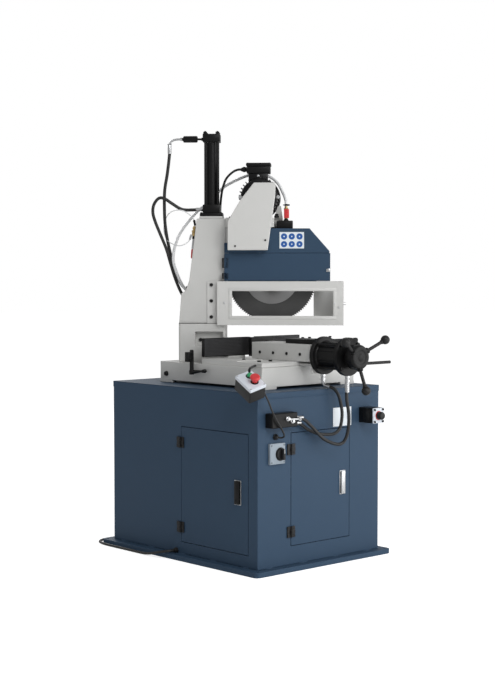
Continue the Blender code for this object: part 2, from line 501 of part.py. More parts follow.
def make_vise():
    px, py = PIVOT
    low = BED[1][2] + GAP
    rail_top = JAW_LOW - 0.006
    bed = box("vise_bed", (-0.205, -0.330, low), (0.295, -0.185, 0.7835), bevel=0.003, upright=True)
    parts_of_bed = [
        box("rail_left", (-0.205, -0.190, low), (-0.066, 0.0240, rail_top), bevel=0.003, upright=True),
        box("rail_right", (0.176, -0.190, low), (0.318, 0.0240, rail_top), bevel=0.003, upright=True),
        box("bracket", (-0.005, -0.406, low), (0.075, -0.320, 0.7765)),
        box("bracket_plate", (-0.015, VISE_FRONT + 0.0065, 0.740), (0.085, -0.404, 0.7765)),
    ]
    join(bed, *parts_of_bed)
    for side, sign in (("left", -1), ("right", 1)):
        wedge = [(px + sign * x, py + y) for x, y in GUSSET]
        join(bed, plate(f"gusset_{side}", wedge[::sign], low, JAW_LOW - GAP, upright=True))
    link(bed, "casting_grey", "base")

    for side, outer, sign in (("left", -0.204, 1), ("right", 0.328, -1)):
        inner = px - sign * JAW_GAP
        jaw = box("fixed_jaw_" + side, (min(outer, inner), JAW_FACE, JAW_LOW),
                  (max(outer, inner), JAW_FACE + JAW_THICK, JAW_TOP))
        edge = [(inner + sign * 0.03, JAW_FACE), (inner, JAW_FACE + 0.0005),
                (inner - sign * 0.020, JAW_FACE + 0.023), (inner + sign * 0.03, JAW_FACE + 0.03)]
        cut(jaw, plate("cut_jaw_" + side, edge[::sign], JAW_LOW - 0.04, JAW_TOP + 0.03, upright=True))
        if side == "right":
            join(jaw, rod("stop_bar", (outer - 0.010, *STOP_BAR), (STOP_BAR_END, *STOP_BAR), 0.0090, 12))
        link(jaw, "black_steel", "base")

    insert = box("movable_jaw_insert", (MOVING_LEFT, MOVING_FACE - INSERT_THICK, JAW_LOW),
                 (MOVING_RIGHT, MOVING_FACE, JAW_TOP + 0.002))
    link(insert, "black_steel", "movable_jaw")
    rear = MOVING_FACE - INSERT_THICK - GAP
    jaw = box("movable_jaw", (MOVING_LEFT, -0.402, 0.7845), (MOVING_RIGHT, rear, 0.851), bevel=0.003, upright=True)
    join(jaw, box("jaw_top", (0.008, -0.400, 0.850), (MOVING_RIGHT - 0.002, -0.240, 0.868), bevel=0.002))
    cut(jaw, box("cut_blade_slot", (0.050, -0.262, 0.70), (0.064, 0.0, 0.90)),
        box("cut_jaw_core", (0.004, -0.41, 0.70), (0.076, -0.285, 0.838)))
    link(jaw, "casting_grey", "movable_jaw")

    barrel = rod("vise_cylinder", (VISE_X, VISE_REAR + 0.012, VISE_Z), (VISE_X, VISE_FRONT - 0.012, VISE_Z), 0.054, 28)
    for end, low_y in (("front", VISE_FRONT - FLANGE_THICK), ("rear", VISE_REAR)):
        join(barrel, rod(f"vise_{end}_flange", (VISE_X, low_y, VISE_Z), (VISE_X, low_y + FLANGE_THICK, VISE_Z),
                         VISE_FLANGE, 32))
    for i in range(4):
        angle = math.radians(45 + 90 * i)
        x, z = VISE_X + TIE_CIRCLE * math.cos(angle), VISE_Z + TIE_CIRCLE * math.sin(angle)
        join(barrel, rod(f"vise_tie_{i}", (x, VISE_REAR + 0.01, z), (x, VISE_FRONT - 0.01, z), 0.0045, 8))
    for i, y in enumerate((-0.420, -0.550)):
        join(barrel, rod(f"vise_port_{i}", (VISE_X, y, VISE_Z - 0.03), (VISE_X, y, 0.722), 0.008, 10))
    link(barrel, "black_steel", "base")
    screw = rod("vise_screw", (VISE_X, VISE_REAR - 0.030, VISE_Z), (VISE_X, VISE_REAR - GAP, VISE_Z), 0.016, 16)
    hub = rod("handwheel_hub", (VISE_X, VISE_REAR - 0.062, VISE_Z), (VISE_X, VISE_REAR - 0.012, VISE_Z),
              HUB_RADIUS, 28)
    link(join(hub, screw), "black_steel", "handwheel")
    for i, degrees in enumerate(ARM_ANGLES):
        angle = math.radians(degrees)
        way = Vector((math.cos(angle), 0, math.sin(angle)))
        centre = Vector((VISE_X, VISE_REAR - 0.037, VISE_Z))
        tip = centre + way * ARM_REACH + Vector((0, -ARM_LEAN, 0))
        start = centre + (tip - centre).normalized() * (HUB_RADIUS + 0.0085)
        arm = rod(f"handwheel_arm_{i + 1}", start, tip, 0.0065, 10)
        link(join(arm, ball(f"handwheel_ball_{i + 1}", tip, 0.0175)), "black_steel", "handwheel")
    stop = rod("length_stop_rod", (0.300 + GAP, -0.270, 0.7535), (0.588, -0.270, 0.7535), 0.0065, 12)
    link(stop, "bright_steel", "base")


def make_column():
    outline = [(-0.299, FOOT_TOP + GAP), (COLUMN_X, FOOT_TOP + GAP), (COLUMN_X, COLUMN_TOP),
               (-0.2256, COLUMN_TOP), (-0.2564, 1.0995), (-0.270, 1.058), (-0.2885, 1.045), (-0.2945, 0.976)]
    column = plate("column", outline, -COLUMN_HALF, COLUMN_HALF)
    cut(column, box("cut_slideway", (-0.203, -0.0305, 1.020), (-0.08, 0.0305, COLUMN_TOP + 0.01)),
        box("cut_blade_groove", (COLUMN_X - 0.012, -0.008, 0.940), (-0.08, 0.008, 1.030)), frame=COLUMN)
    link(column, "casting_grey", "column", COLUMN)

    top, low, half, sheet = FRAME_TOP, FRAME_LOW, FRAME_HALF, FRAME_SHEET
    frame = box("blade_frame", (FRAME_LEFT, -half, low), (FRAME_RIGHT, -half + sheet, top))
    cut(frame, box("cut_window", (-0.0805, -0.10, 0.955), (0.327, -0.07, 1.055)), frame=COLUMN)
    seat = -COLUMN_HALF - GAP
    bottom = FOOT_TOP + GAP
    join(frame, box("frame_end", (FRAME_RIGHT - sheet, -half, low), (FRAME_RIGHT, half, top)),
         box("frame_back", (0.2487, half - sheet, low), (FRAME_RIGHT, half, top)),
         box("frame_return", (FRAME_LEFT, -half, bottom), (FRAME_LEFT + sheet, seat, top)),
         box("frame_flange", (-0.183, seat - sheet, bottom), (FRAME_LEFT + sheet, seat, top)), frame=COLUMN)
    link(frame, "casting_grey", "column", COLUMN)

    x = CYLINDER_X
    base = COLUMN_TOP + GAP
    barrel = box("feed_cylinder", (x - 0.048, -0.048, base), (x + 0.048, 0.048, 1.376), bevel=0.004, upright=True)
    join(barrel, box("feed_lower_cap", (x - 0.035, -0.035, 1.370), (x + 0.035, 0.035, 1.406)),
         rod("feed_barrel", (x, 0, 1.40), (x, 0, 1.6595), BARREL_RADIUS, 24), frame=COLUMN)
    cut(barrel, rod("cut_bore", (x, 0, 1.30), (x, 0, 1.70), BORE_RADIUS, 24), frame=COLUMN)
    link(barrel, "black_steel", "column", COLUMN)

    cap = box("feed_cylinder_cap", (x - 0.035, -0.035, 1.6599), (x + 0.035, 0.035, 1.6925))
    for i, (sx, sy) in enumerate([(1, 1), (1, -1), (-1, 1), (-1, -1)]):
        rx, ry = x + sx * 0.0275, sy * 0.0275
        join(cap, rod(f"tie_rod_{i}", (rx, ry, 1.4064), (rx, ry, 1.706), 0.0045, 8),
             rod(f"tie_nut_{i}", (rx, ry, 1.690), (rx, ry, 1.702), 0.008, 6), frame=COLUMN)
    join(cap, rod("valve_pipe", (x - 0.030, 0, 1.673), (-0.230, 0, 1.673), 0.004, 10),
         rod("check_valve", (-0.2895, 0, 1.673), (-0.224, 0, 1.673), 0.0135, 12), frame=COLUMN)
    link(cap, "black_steel", "column", COLUMN)

    for name, route in (("feed_hose_top", FEED_TOP_ROUTE), ("feed_hose_bottom", FEED_BOTTOM_ROUTE)):
        link(tube(name, route, 0.0065, 0.045), "black_rubber", "column", COLUMN)

    x, y, z = LOCK
    tip = (x - 0.002, y - 0.082, 0.7405)
    lever = rod("swivel_lock_lever", (x, y, 0.722), (x, y, 0.8215), 0.0080, 12)
    join(lever, box("lock_block", (x - 0.029, y - 0.010, 0.7740), (x, y + 0.010, 0.8130), bevel=0.0015),
         rod("lock_handle", (x, y, 0.732), tip, 0.0052, 10), ball("lock_ball", tip, 0.0080))
    link(lever, "black_steel", "swivel_lock")


def make_head():
    head = box("head_casting", (COLUMN_X + GAP, -COLUMN_HALF, 1.100), (-0.0936, COLUMN_HALF, 1.345))
    seat = [(0.008, 1.487), (0.094, 1.487), (0.092, 1.437), (0.066, 1.2515),
            (-0.094, 1.2515), (-0.094, 1.333), (-0.045, 1.416)]
    join(head,
         box("slide_tongue", (-0.200, -0.030, 1.190), (-0.10, 0.030, 1.300)),
         box("bridge", (COLUMN_X + GAP, GUARD_FRONT - 0.001, 1.3125), (0.088, 0.130, 1.3515)),
         box("bridge_rear", (0.060, 0.002, 1.3125), (0.122, 0.130, 1.3515)),
         plate("motor_seat", seat, -0.0872, GUARD_FRONT - 0.0007),
         box("gearbox", (0.030, GUARD_BACK + 0.0035, 1.064), (0.122, 0.130, 1.330)),
         rod("spindle_housing", (BLADE_X, 0.012, BLADE_Z), (BLADE_X, 0.08, BLADE_Z), 0.044, 24),
         frame=COLUMN)
    cut(head, box("cut_blade_way", (-0.12, -0.008, 1.05), (-0.09, 0.008, 1.189)), frame=COLUMN)
    cut(head, rod("cut_spindle", (BLADE_X, 0.0, BLADE_Z), (BLADE_X, 0.105, BLADE_Z), 0.0163, 20), frame=COLUMN)
    link(head, "casting_grey", "head", COLUMN)

    cover = plate("gear_cover", COVER_OUTLINE, COVER_FRONT, COVER_BACK)
    middle = Vector((0.0, 1.340))
    hollow = [tuple(middle + (Vector(p) - middle) * 0.955) for p in COVER_OUTLINE]
    cut(cover, plate("cut_cover", hollow, COVER_FRONT + 0.003, COVER_BACK + 0.01), frame=COLUMN)
    link(cover, "casting_grey", "head", COLUMN)

    guard = plate("blade_guard", GUARD_OUTLINE, GUARD_FRONT, GUARD_BACK)
    inner = [(-0.0911, 1.00), (0.3105, 1.00), (0.3105, 1.2156), (0.2309, 1.306), (-0.0911, 1.306)]
    cut(guard, plate("cut_guard", inner, GUARD_FRONT + 0.002, GUARD_BACK - 0.002),
        box("cut_door", (-0.12, GUARD_FRONT - 0.01, 1.0), (0.35, GUARD_FRONT + 0.0025, DOOR_SEAM)),
        box("cut_spindle_way", (0.030, 0.060, 1.0), (0.126, 0.08, 1.160)),
        box("cut_blade_side", (-0.10, -0.008, 1.0), (-0.085, 0.008, 1.189)), frame=COLUMN)
    join(guard, box("guard_skirt", (-0.1125, GUARD_FRONT, DOOR_SEAM), (-0.090, GUARD_FRONT + 0.002, 1.250)),
         frame=COLUMN)
    link(guard, "cabinet_blue", "head", COLUMN)

    face, top = GUARD_FRONT - GAP, DOOR_SEAM - 0.001
    door = box("guard_door", (-0.1125, face, 1.096), (0.3158, GUARD_FRONT + 0.0020, top))
    join(door, box("door_return", (0.3132, face, 1.096), (0.3158, -0.040, top)), frame=COLUMN)
    for i, (z0, z1) in enumerate([(1.148, 1.189), (1.104, 1.128)]):
        join(door, rod(f"door_hinge_{i}", (*GUARD_HINGE, z0), (*GUARD_HINGE, z1), 0.0048, 12),
             box(f"door_leaf_{i}", (GUARD_HINGE[0], GUARD_FRONT - 0.004, z0), (-0.097, GUARD_FRONT, z1)),
             frame=COLUMN)
    link(door, "cabinet_blue", "guard_door", COLUMN)

    x, z = MOTOR
    motor = rod("motor", (x, MOTOR_FRONT + GAP, z), (x, MOTOR_BACK, z), MOTOR_RADIUS, 32)
    join(motor, rod("motor_fan_cowl", (x, MOTOR_BACK - 0.01, z), (x, MOTOR_BACK + 0.045, z), 0.074, 24),
         box("terminal_box", (-0.026, -0.050, 1.531), (0.075, 0.030, 1.574), bevel=0.003),
         box("terminal_neck", (-0.0157, -0.042, 1.490), (0.0619, 0.022, 1.535)),
         rod("terminal_gland", (-0.0485, -0.010, 1.549), (-0.02, -0.010, 1.549), 0.0085, 10), frame=COLUMN)
    link(motor, "black_steel", "head", COLUMN)

    piston = rod("feed_piston_rod", (CYLINDER_X, 0, 1.300 + GAP), (CYLINDER_X, 0, 1.640), ROD_RADIUS, 20)
    join(piston, rod("piston", (CYLINDER_X, 0, 1.622), (CYLINDER_X, 0, 1.650), BORE_RADIUS - RUNNING, 24),
         frame=COLUMN)
    link(piston, "bright_steel", "head", COLUMN)

    tap = box("coolant_tap", (0.099, -0.055, 1.3084), (0.164, -0.006, 1.340), bevel=0.002)
    join(tap, rod("tap_stem", (0.1365, -0.030, 1.335), (0.1365, -0.030, 1.3980), 0.0070, 12),
         rod("tap_spigot", (0.1365, -0.030, TAP[2]), (0.1365, TAP[1] + 0.0030, TAP[2]), 0.004, 10), frame=COLUMN)
    link(tap, "black_steel", "head", COLUMN)
    lever = box("coolant_tap_lever", (0.1280, TAP[1] - 0.002, 1.350), (0.1492, TAP[1] + 0.0024, 1.387), bevel=0.001)
    link(lever, "red_plastic", "coolant_lever", COLUMN)

    link(tube("coolant_hose", COOLANT_ROUTE, 0.0050, 0.036), "clear_hose", "head", COLUMN)
    link(tube("motor_cable", CABLE_ROUTE, 0.0040, 0.026), "black_rubber", "head", COLUMN)

    half = BLADE_THICK / 2
    arbor = rod("blade_arbor", (BLADE_X, -0.020, BLADE_Z), (BLADE_X, 0.100, BLADE_Z), 0.0158, 20)
    join(arbor, rod("blade_flange", (BLADE_X, -0.0042, BLADE_Z), (BLADE_X, -half - GAP, BLADE_Z), 0.111, 40),
         rod("arbor_nut", (BLADE_X, -0.018, BLADE_Z), (BLADE_X, -0.003, BLADE_Z), 0.027, 6), frame=COLUMN)
    link(arbor, "bright_steel", "blade", COLUMN)
    blade = rod("saw_blade", (BLADE_X, -half, BLADE_Z), (BLADE_X, half, BLADE_Z), BLADE_RADIUS, 64)
    cut(blade, rod("cut_blade", (BLADE_X, -0.01, BLADE_Z), (BLADE_X, 0.01, BLADE_Z), 0.0162, 20), frame=COLUMN)
    link(blade, "bright_steel", "blade", COLUMN)


def make_controls():
    half_w, half_l = BOX_WIDTH / 2, BOX_LENGTH / 2
    case = box("control_box", (-half_w, -half_l, -BOX_HEIGHT), (half_w, half_l, 0), bevel=0.004)
    case.data.transform(BOX_FRAME)
    strap = tube("strap_curve", [(-0.212, -0.300, 0.7735), (-0.250, -0.330, 0.7735), (-0.330, -0.405, 0.776),
                                 (-0.372, -0.443, 0.772), (-0.381, -0.453, 0.745)], 0.005, 0.05)
    join(case, to_mesh(strap))
    for name, place, radius in (("start", START, START_RADIUS), ("stop", STOP, STOP_STEM)):
        cut(case, rod("cut_" + name, (*place, -BUTTON_HOLE), (*place, 0.01), radius + RUNNING, 20), frame=BOX_FRAME)
    link(case, "black_plastic", "base")

    start = rod("start_button", (*START, -BUTTON_DEPTH), (*START, 0.009), START_RADIUS, 20)
    link(start, "green_plastic", "start_button", BOX_FRAME)
    stop = rod("stop_stem", (*STOP, -BUTTON_DEPTH), (*STOP, 0.020), STOP_STEM, 16)
    mushroom = rod("stop_button", (*STOP, 0.017), (*STOP, 0.029), 0.0190, 24, 0.0165)
    link(join(mushroom, stop, frame=BOX_FRAME), "red_plastic", "stop_button", BOX_FRAME)

    x, z = SWITCH
    knob = rod("main_switch_knob", (x, FRONT - 0.020, z), (x, FRONT - 0.0135, z), 0.023, 28)
    join(knob, box("switch_grip", (x - 0.006, FRONT - 0.036, z - 0.021), (x + 0.006, FRONT - 0.019, z + 0.021)))
    link(knob, "black_plastic", "main_switch")
    half = VALVE_SIZE / 2
    valve = box("flow_valve", (VALVE_X - half, VALVE_FRONT + 0.0008, VALVE_Z - half),
                (VALVE_X + half, FRONT - GAP, VALVE_Z + half), bevel=0.002)
    link(valve, "black_steel", "base")
    knob = rod("flow_knob", (VALVE_X, VALVE_FRONT - 0.022, VALVE_Z), (VALVE_X, VALVE_FRONT, VALVE_Z), 0.0155, 20)
    link(knob, "black_plastic", "flow_knob")

    manifold = box("hydraulic_manifold", (-0.292, -0.482, 0.551), (-0.160, FRONT - GAP, 0.606), bevel=0.003)
    link(manifold, "black_steel", "base")
    link(tube("vise_hose_open", VISE_OPEN_ROUTE, 0.0065, 0.040), "black_rubber", "base")
    link(tube("vise_hose_close", VISE_CLOSE_ROUTE, 0.0065, 0.040), "black_rubber", "base")
    way_out = [BOX_FRAME @ Vector((half_w + x, -0.018, -0.056)) for x in (GAP, 0.010)]
    link(tube("control_cable", way_out + CONTROL_ROUTE, 0.0035, 0.026), "black_rubber", "base")


def turned_ring(name, centre, inner, outer, low, high, steps=32):
    """A ring turned about an upright axis from its rectangular section."""
    mesh = bpy.data.meshes.new(name)
    section = [(outer, 0, high), (outer, 0, low), (inner, 0, low), (inner, 0, high)]
    mesh.from_pydata(section, [(0, 1), (1, 2), (2, 3), (3, 0)], [])
    ring = bpy.data.objects.new(name, mesh)
    turn = ring.modifiers.new("turn", "SCREW")
    turn.steps = turn.render_steps = steps
    turn.use_merge_vertices = True
    turn.merge_threshold = 0.0001
    return ring, Matrix.Translation((*centre, 0))


def make_power_cord():
    gland = rod("power_cord_gland", (LEFT - GAP, 0.030, 0.031), (LEFT - 0.0191, 0.030, 0.031), 0.0100, 16, 0.0070)
    link(gland, "black_plastic", "base")
    link(tube("power_cord", CORD_ROUTE, CORD_RADIUS, 0.018), "black_rubber", "base")
    coil, place = turned_ring("power_cord_coil", COIL_CENTRE, COIL_MEAN - COIL_HALF, COIL_MEAN + COIL_HALF,
                              GAP, COIL_TOP)
    link(coil, "black_rubber", "base", place)
    plug = rod("power_plug", (PLUG_START + 0.030, PLUG_Y, PLUG_Z), (PLUG_START + 0.118, PLUG_Y, PLUG_Z), 0.0242, 24)
    neck = rod("plug_neck", (PLUG_START, PLUG_Y, PLUG_Z), (PLUG_START + 0.032, PLUG_Y, PLUG_Z), 0.0085, 16, 0.0200)
    link(join(plug, neck), "red_plastic", "base")


def main():
    make_bodies()
    make_cabinet()
    make_doors()
    make_inside()
    make_bed()
    make_vise()
    make_column()
    make_head()
    make_controls()
    make_power_cord()


clear_scene()
parts = make_collection("cold_saw")
cutters = make_collection("cutters")
main()
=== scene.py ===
import json
import math

import bmesh
import bpy
from mathutils import Matrix, Vector

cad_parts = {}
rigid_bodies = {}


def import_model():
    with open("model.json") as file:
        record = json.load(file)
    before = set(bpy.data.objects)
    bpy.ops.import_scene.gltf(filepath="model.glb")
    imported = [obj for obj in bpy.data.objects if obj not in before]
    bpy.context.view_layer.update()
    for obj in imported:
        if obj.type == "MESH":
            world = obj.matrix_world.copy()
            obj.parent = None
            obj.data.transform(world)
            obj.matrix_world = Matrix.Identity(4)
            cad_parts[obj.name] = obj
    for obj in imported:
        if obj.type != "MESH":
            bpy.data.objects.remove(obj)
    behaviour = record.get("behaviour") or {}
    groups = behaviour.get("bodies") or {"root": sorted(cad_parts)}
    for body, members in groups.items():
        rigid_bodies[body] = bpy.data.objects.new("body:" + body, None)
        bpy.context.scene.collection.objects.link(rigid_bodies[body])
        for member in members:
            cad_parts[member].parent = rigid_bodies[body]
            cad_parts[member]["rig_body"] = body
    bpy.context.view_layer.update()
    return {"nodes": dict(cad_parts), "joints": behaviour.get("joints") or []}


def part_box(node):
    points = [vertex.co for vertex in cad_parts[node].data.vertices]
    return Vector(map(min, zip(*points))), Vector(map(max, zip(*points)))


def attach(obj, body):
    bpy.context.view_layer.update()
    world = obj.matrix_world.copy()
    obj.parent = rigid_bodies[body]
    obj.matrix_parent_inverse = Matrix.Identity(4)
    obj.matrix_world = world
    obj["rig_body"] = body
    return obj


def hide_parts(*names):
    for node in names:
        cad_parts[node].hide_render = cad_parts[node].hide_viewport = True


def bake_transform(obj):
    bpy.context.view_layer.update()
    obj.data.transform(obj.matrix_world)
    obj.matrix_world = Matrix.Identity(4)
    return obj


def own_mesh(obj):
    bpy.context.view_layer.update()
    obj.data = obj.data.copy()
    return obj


for startItem in list(bpy.data.objects):
    bpy.data.objects.remove(startItem)
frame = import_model()

room = Matrix.Identity(4)
# the column's own axes: x along the blade to its free end, y away from the operator's corner
turned = Matrix.Translation((0.055, 0.005, 0)) @ Matrix.Rotation(math.radians(-45), 4, "Z")
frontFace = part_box("front_door")[0].y
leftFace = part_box("side_door")[0].x
print("frame loaded")

# camera

cameraSetup = {"place": (-3.92211, -4.34131, 1.12890), "down": 3.0567, "turn": 42.2478, "lens": 73.98}


def makeCamera(setup):
    data = bpy.data.cameras.new("camera")
    data.lens = setup["lens"]
    camera = bpy.data.objects.new("camera", data)
    camera.location = setup["place"]
    camera.rotation_euler = (math.radians(90 - setup["down"]), 0, -math.radians(setup["turn"]))
    bpy.context.scene.collection.objects.link(camera)
    bpy.context.scene.camera = camera


makeCamera(cameraSetup)

# finishes

# light and dark tone, roughness, metal, fineness of patches and of grain, depth of the grain, coat, gloss
paints = {
    "blue": {"tones": ((0.038, 0.070, 0.117), (0.033, 0.062, 0.105)), "rough": 0.44, "metal": 0.0,
             "patch": 5.0, "grain": 850.0, "depth": 0.00025, "coat": 0.0, "gloss": 0.13},
    "casting": {"tones": ((0.60, 0.60, 0.585), (0.54, 0.54, 0.525)), "rough": 0.50, "metal": 0.0,
                "patch": 9.0, "grain": 420.0, "depth": 0.0006, "coat": 0.0, "gloss": 0.4},
    "sheetGrey": {"tones": ((0.62, 0.62, 0.605), (0.58, 0.58, 0.565)), "rough": 0.40, "metal": 0.0,
                  "patch": 5.0, "grain": 900.0, "depth": 0.00022, "coat": 0.0, "gloss": 0.4},
    "black": {"tones": ((0.0075, 0.0075, 0.0078), (0.0045, 0.0045, 0.0048)), "rough": 0.36, "metal": 0.0,
              "patch": 14.0, "grain": 700.0, "depth": 0.0003, "coat": 0.0, "gloss": 0.2},
    "oxide": {"tones": ((0.026, 0.025, 0.025), (0.010, 0.010, 0.011)), "rough": 0.40, "metal": 0.5,
              "patch": 120.0, "grain": 1500.0, "depth": 0.0001, "coat": 0.0, "gloss": 0.4},
    "blackPlastic": {"tones": ((0.0095, 0.0095, 0.010), (0.0065, 0.0065, 0.007)), "rough": 0.46, "metal": 0.0,
                     "patch": 30.0, "grain": 2200.0, "depth": 0.0002, "coat": 0.0, "gloss": 0.35},
    # dark: a matte near-black used only as painted shade, for the latch recesses and the column seam
    "dark": {"tones": ((0.008, 0.008, 0.009), (0.005, 0.005, 0.006)), "rough": 0.70, "metal": 0.0,
             "patch": 30.0, "grain": 1200.0, "depth": 0.0002, "coat": 0.0, "gloss": 0.2},
    "plateGrey": {"tones": ((0.30, 0.35, 0.40), (0.26, 0.31, 0.36)), "rough": 0.42, "metal": 0.0,
                  "patch": 20.0, "grain": 1800.0, "depth": 0.00015, "coat": 0.0, "gloss": 0.3},
    "lid": {"tones": ((0.66, 0.70, 0.76), (0.61, 0.65, 0.71)), "rough": 0.38, "metal": 0.0,
            "patch": 20.0, "grain": 1800.0, "depth": 0.00015, "coat": 0.0, "gloss": 0.5},
    "label": {"tones": ((0.74, 0.79, 0.83), (0.70, 0.75, 0.79)), "rough": 0.30, "metal": 0.0,
              "patch": 30.0, "grain": 1500.0, "depth": 0.00005, "coat": 0.2, "gloss": 0.5},
    "labelBlue": {"tones": ((0.010, 0.095, 0.36), (0.008, 0.082, 0.32)), "rough": 0.30, "metal": 0.0,
                  "patch": 60.0, "grain": 1500.0, "depth": 0.00005, "coat": 0.2, "gloss": 0.5},
    "red": {"tones": ((0.62, 0.030, 0.034), (0.52, 0.022, 0.026)), "rough": 0.30, "metal": 0.0,
            "patch": 60.0, "grain": 1600.0, "depth": 0.00008, "coat": 0.3, "gloss": 0.5},
    "green": {"tones": ((0.014, 0.30, 0.115), (0.010, 0.25, 0.095)), "rough": 0.30, "metal": 0.0,
              "patch": 60.0, "grain": 1600.0, "depth": 0.00008, "coat": 0.3, "gloss": 0.5},
}

# tone, roughness, how close the fine lines lie along each axis, and their depth
metals = {
    "steel": {"tone": (0.60, 0.60, 0.61), "rough": 0.24, "lines": (900.0, 900.0, 40.0), "depth": 0.00008},
    "zinc": {"tone": (0.66, 0.67, 0.68), "rough": 0.30, "lines": (260.0, 260.0, 260.0), "depth": 0.00006},
    "knurl": {"tone": (0.085, 0.085, 0.088), "rough": 0.30, "lines": (300.0, 300.0, 300.0), "depth": 0.00006},
    "brass": {"tone": (0.62, 0.44, 0.19), "rough": 0.28, "lines": (400.0, 400.0, 400.0), "depth": 0.00006},
}
madeFinishes = {}


def addNode(tree, kind, **values):
    node = tree.nodes.new(kind)
    for key, value in values.items():
        if key in node.inputs:
            node.inputs[key].default_value = value
        else:
            setattr(node, key, value)
    return node


def startFinish(name, rough, metal, coat=0.0):
    material = bpy.data.materials.new(name)
    material.use_nodes = True
    tree = material.node_tree
    shader = tree.nodes["Principled BSDF"]
    shader.inputs["Roughness"].default_value = rough
    shader.inputs["Metallic"].default_value = metal
    shader.inputs["Coat Weight"].default_value = coat
    shader.inputs["Coat Roughness"].default_value = 0.25
    return material, tree, shader


def mixTones(tree, factor, light, dark):
    mix = addNode(tree, "ShaderNodeMix", data_type="RGBA")
    mix.inputs[6].default_value = (*dark, 1)
    mix.inputs[7].default_value = (*light, 1)
    tree.links.new(factor, mix.inputs[0])
    return mix.outputs[2]


def roughFrom(tree, shader, factor, rough, spread):
    span = addNode(tree, "ShaderNodeMapRange")
    span.inputs["To Min"].default_value = rough - spread
    span.inputs["To Max"].default_value = rough + spread
    tree.links.new(factor, span.inputs["Value"])
    tree.links.new(span.outputs["Result"], shader.inputs["Roughness"])


def bumpFrom(tree, shader, height, depth, strength=0.5):
    bump = addNode(tree, "ShaderNodeBump", Strength=strength, Distance=depth)
    tree.links.new(height, bump.inputs["Height"])
    tree.links.new(bump.outputs["Normal"], shader.inputs["Normal"])


def paintFinish(name, look):
    material, tree, shader = startFinish(name, look["rough"], look["metal"], look["coat"])
    shader.inputs["Specular IOR Level"].default_value = look["gloss"]
    where = addNode(tree, "ShaderNodeTexCoord").outputs["Object"]
    patches = addNode(tree, "ShaderNodeTexNoise", Scale=look["patch"], Detail=5.0, Roughness=0.6)
    grain = addNode(tree, "ShaderNodeTexNoise", Scale=look["grain"], Detail=3.0)
    for texture in (patches, grain):
        tree.links.new(where, texture.inputs["Vector"])
    light, dark = look["tones"]
    tree.links.new(mixTones(tree, patches.outputs["Fac"], light, dark), shader.inputs["Base Color"])
    roughFrom(tree, shader, patches.outputs["Fac"], look["rough"], 0.07)
    bumpFrom(tree, shader, grain.outputs["Fac"], look["depth"])
    return material


def metalFinish(name, look):
    material, tree, shader = startFinish(name, look["rough"], 1.0)
    where = addNode(tree, "ShaderNodeTexCoord").outputs["Object"]
    stretch = addNode(tree, "ShaderNodeMapping")
    stretch.inputs["Scale"].default_value = look["lines"]
    lines = addNode(tree, "ShaderNodeTexNoise", Scale=1.0, Detail=4.0)
    tree.links.new(where, stretch.inputs["Vector"])
    tree.links.new(stretch.outputs["Vector"], lines.inputs["Vector"])
    dark = [0.82 * c for c in look["tone"]]
    tree.links.new(mixTones(tree, lines.outputs["Fac"], look["tone"], dark), shader.inputs["Base Color"])
    roughFrom(tree, shader, lines.outputs["Fac"], look["rough"], 0.08)
    bumpFrom(tree, shader, lines.outputs["Fac"], look["depth"])
    return material


bladeLook = {"centre": (0.0777, 0.0, 1.1125), "toneOut": 0.085, "toneIn": 0.27, "rings": 1600.0,
             "rough": 0.40}


def bladeFinish(name, tone):
    # ground rings round the blade's own axis
    material, tree, shader = startFinish(name, bladeLook["rough"], 0.75)
    where = addNode(tree, "ShaderNodeTexCoord").outputs["Object"]
    toAxis = (turned @ Matrix.Translation(bladeLook["centre"])).inverted()
    centred = addNode(tree, "ShaderNodeMapping")
    centred.inputs["Location"].default_value = toAxis.translation
    centred.inputs["Rotation"].default_value = toAxis.to_euler()
    apart = addNode(tree, "ShaderNodeSeparateXYZ")
    flat = addNode(tree, "ShaderNodeCombineXYZ")
    length = addNode(tree, "ShaderNodeVectorMath", operation="LENGTH")
    tree.links.new(where, centred.inputs["Vector"])
    tree.links.new(centred.outputs["Vector"], apart.inputs["Vector"])
    tree.links.new(apart.outputs["X"], flat.inputs["X"])
    tree.links.new(apart.outputs["Z"], flat.inputs["Y"])
    tree.links.new(flat.outputs["Vector"], length.inputs[0])
    rings = addNode(tree, "ShaderNodeTexNoise", noise_dimensions="1D", Scale=bladeLook["rings"], Detail=2.0)
    tree.links.new(length.outputs["Value"], rings.inputs["W"])
    haze = addNode(tree, "ShaderNodeTexNoise", Scale=16.0, Detail=4.0)
    tree.links.new(where, haze.inputs["Vector"])
    both = addNode(tree, "ShaderNodeMath", operation="ADD")
    half = addNode(tree, "ShaderNodeMath", operation="MULTIPLY")
    half.inputs[1].default_value = 0.5
    tree.links.new(rings.outputs["Fac"], both.inputs[0])
    tree.links.new(haze.outputs["Fac"], both.inputs[1])
    tree.links.new(both.outputs["Value"], half.inputs[0])
    light, dark = (tone * 1.25,) * 3, (tone * 0.75,) * 3
    tree.links.new(mixTones(tree, half.outputs["Value"], light, dark), shader.inputs["Base Color"])
    roughFrom(tree, shader, rings.outputs["Fac"], bladeLook["rough"], 0.08)
    bumpFrom(tree, shader, rings.outputs["Fac"], 0.0001)
    return material


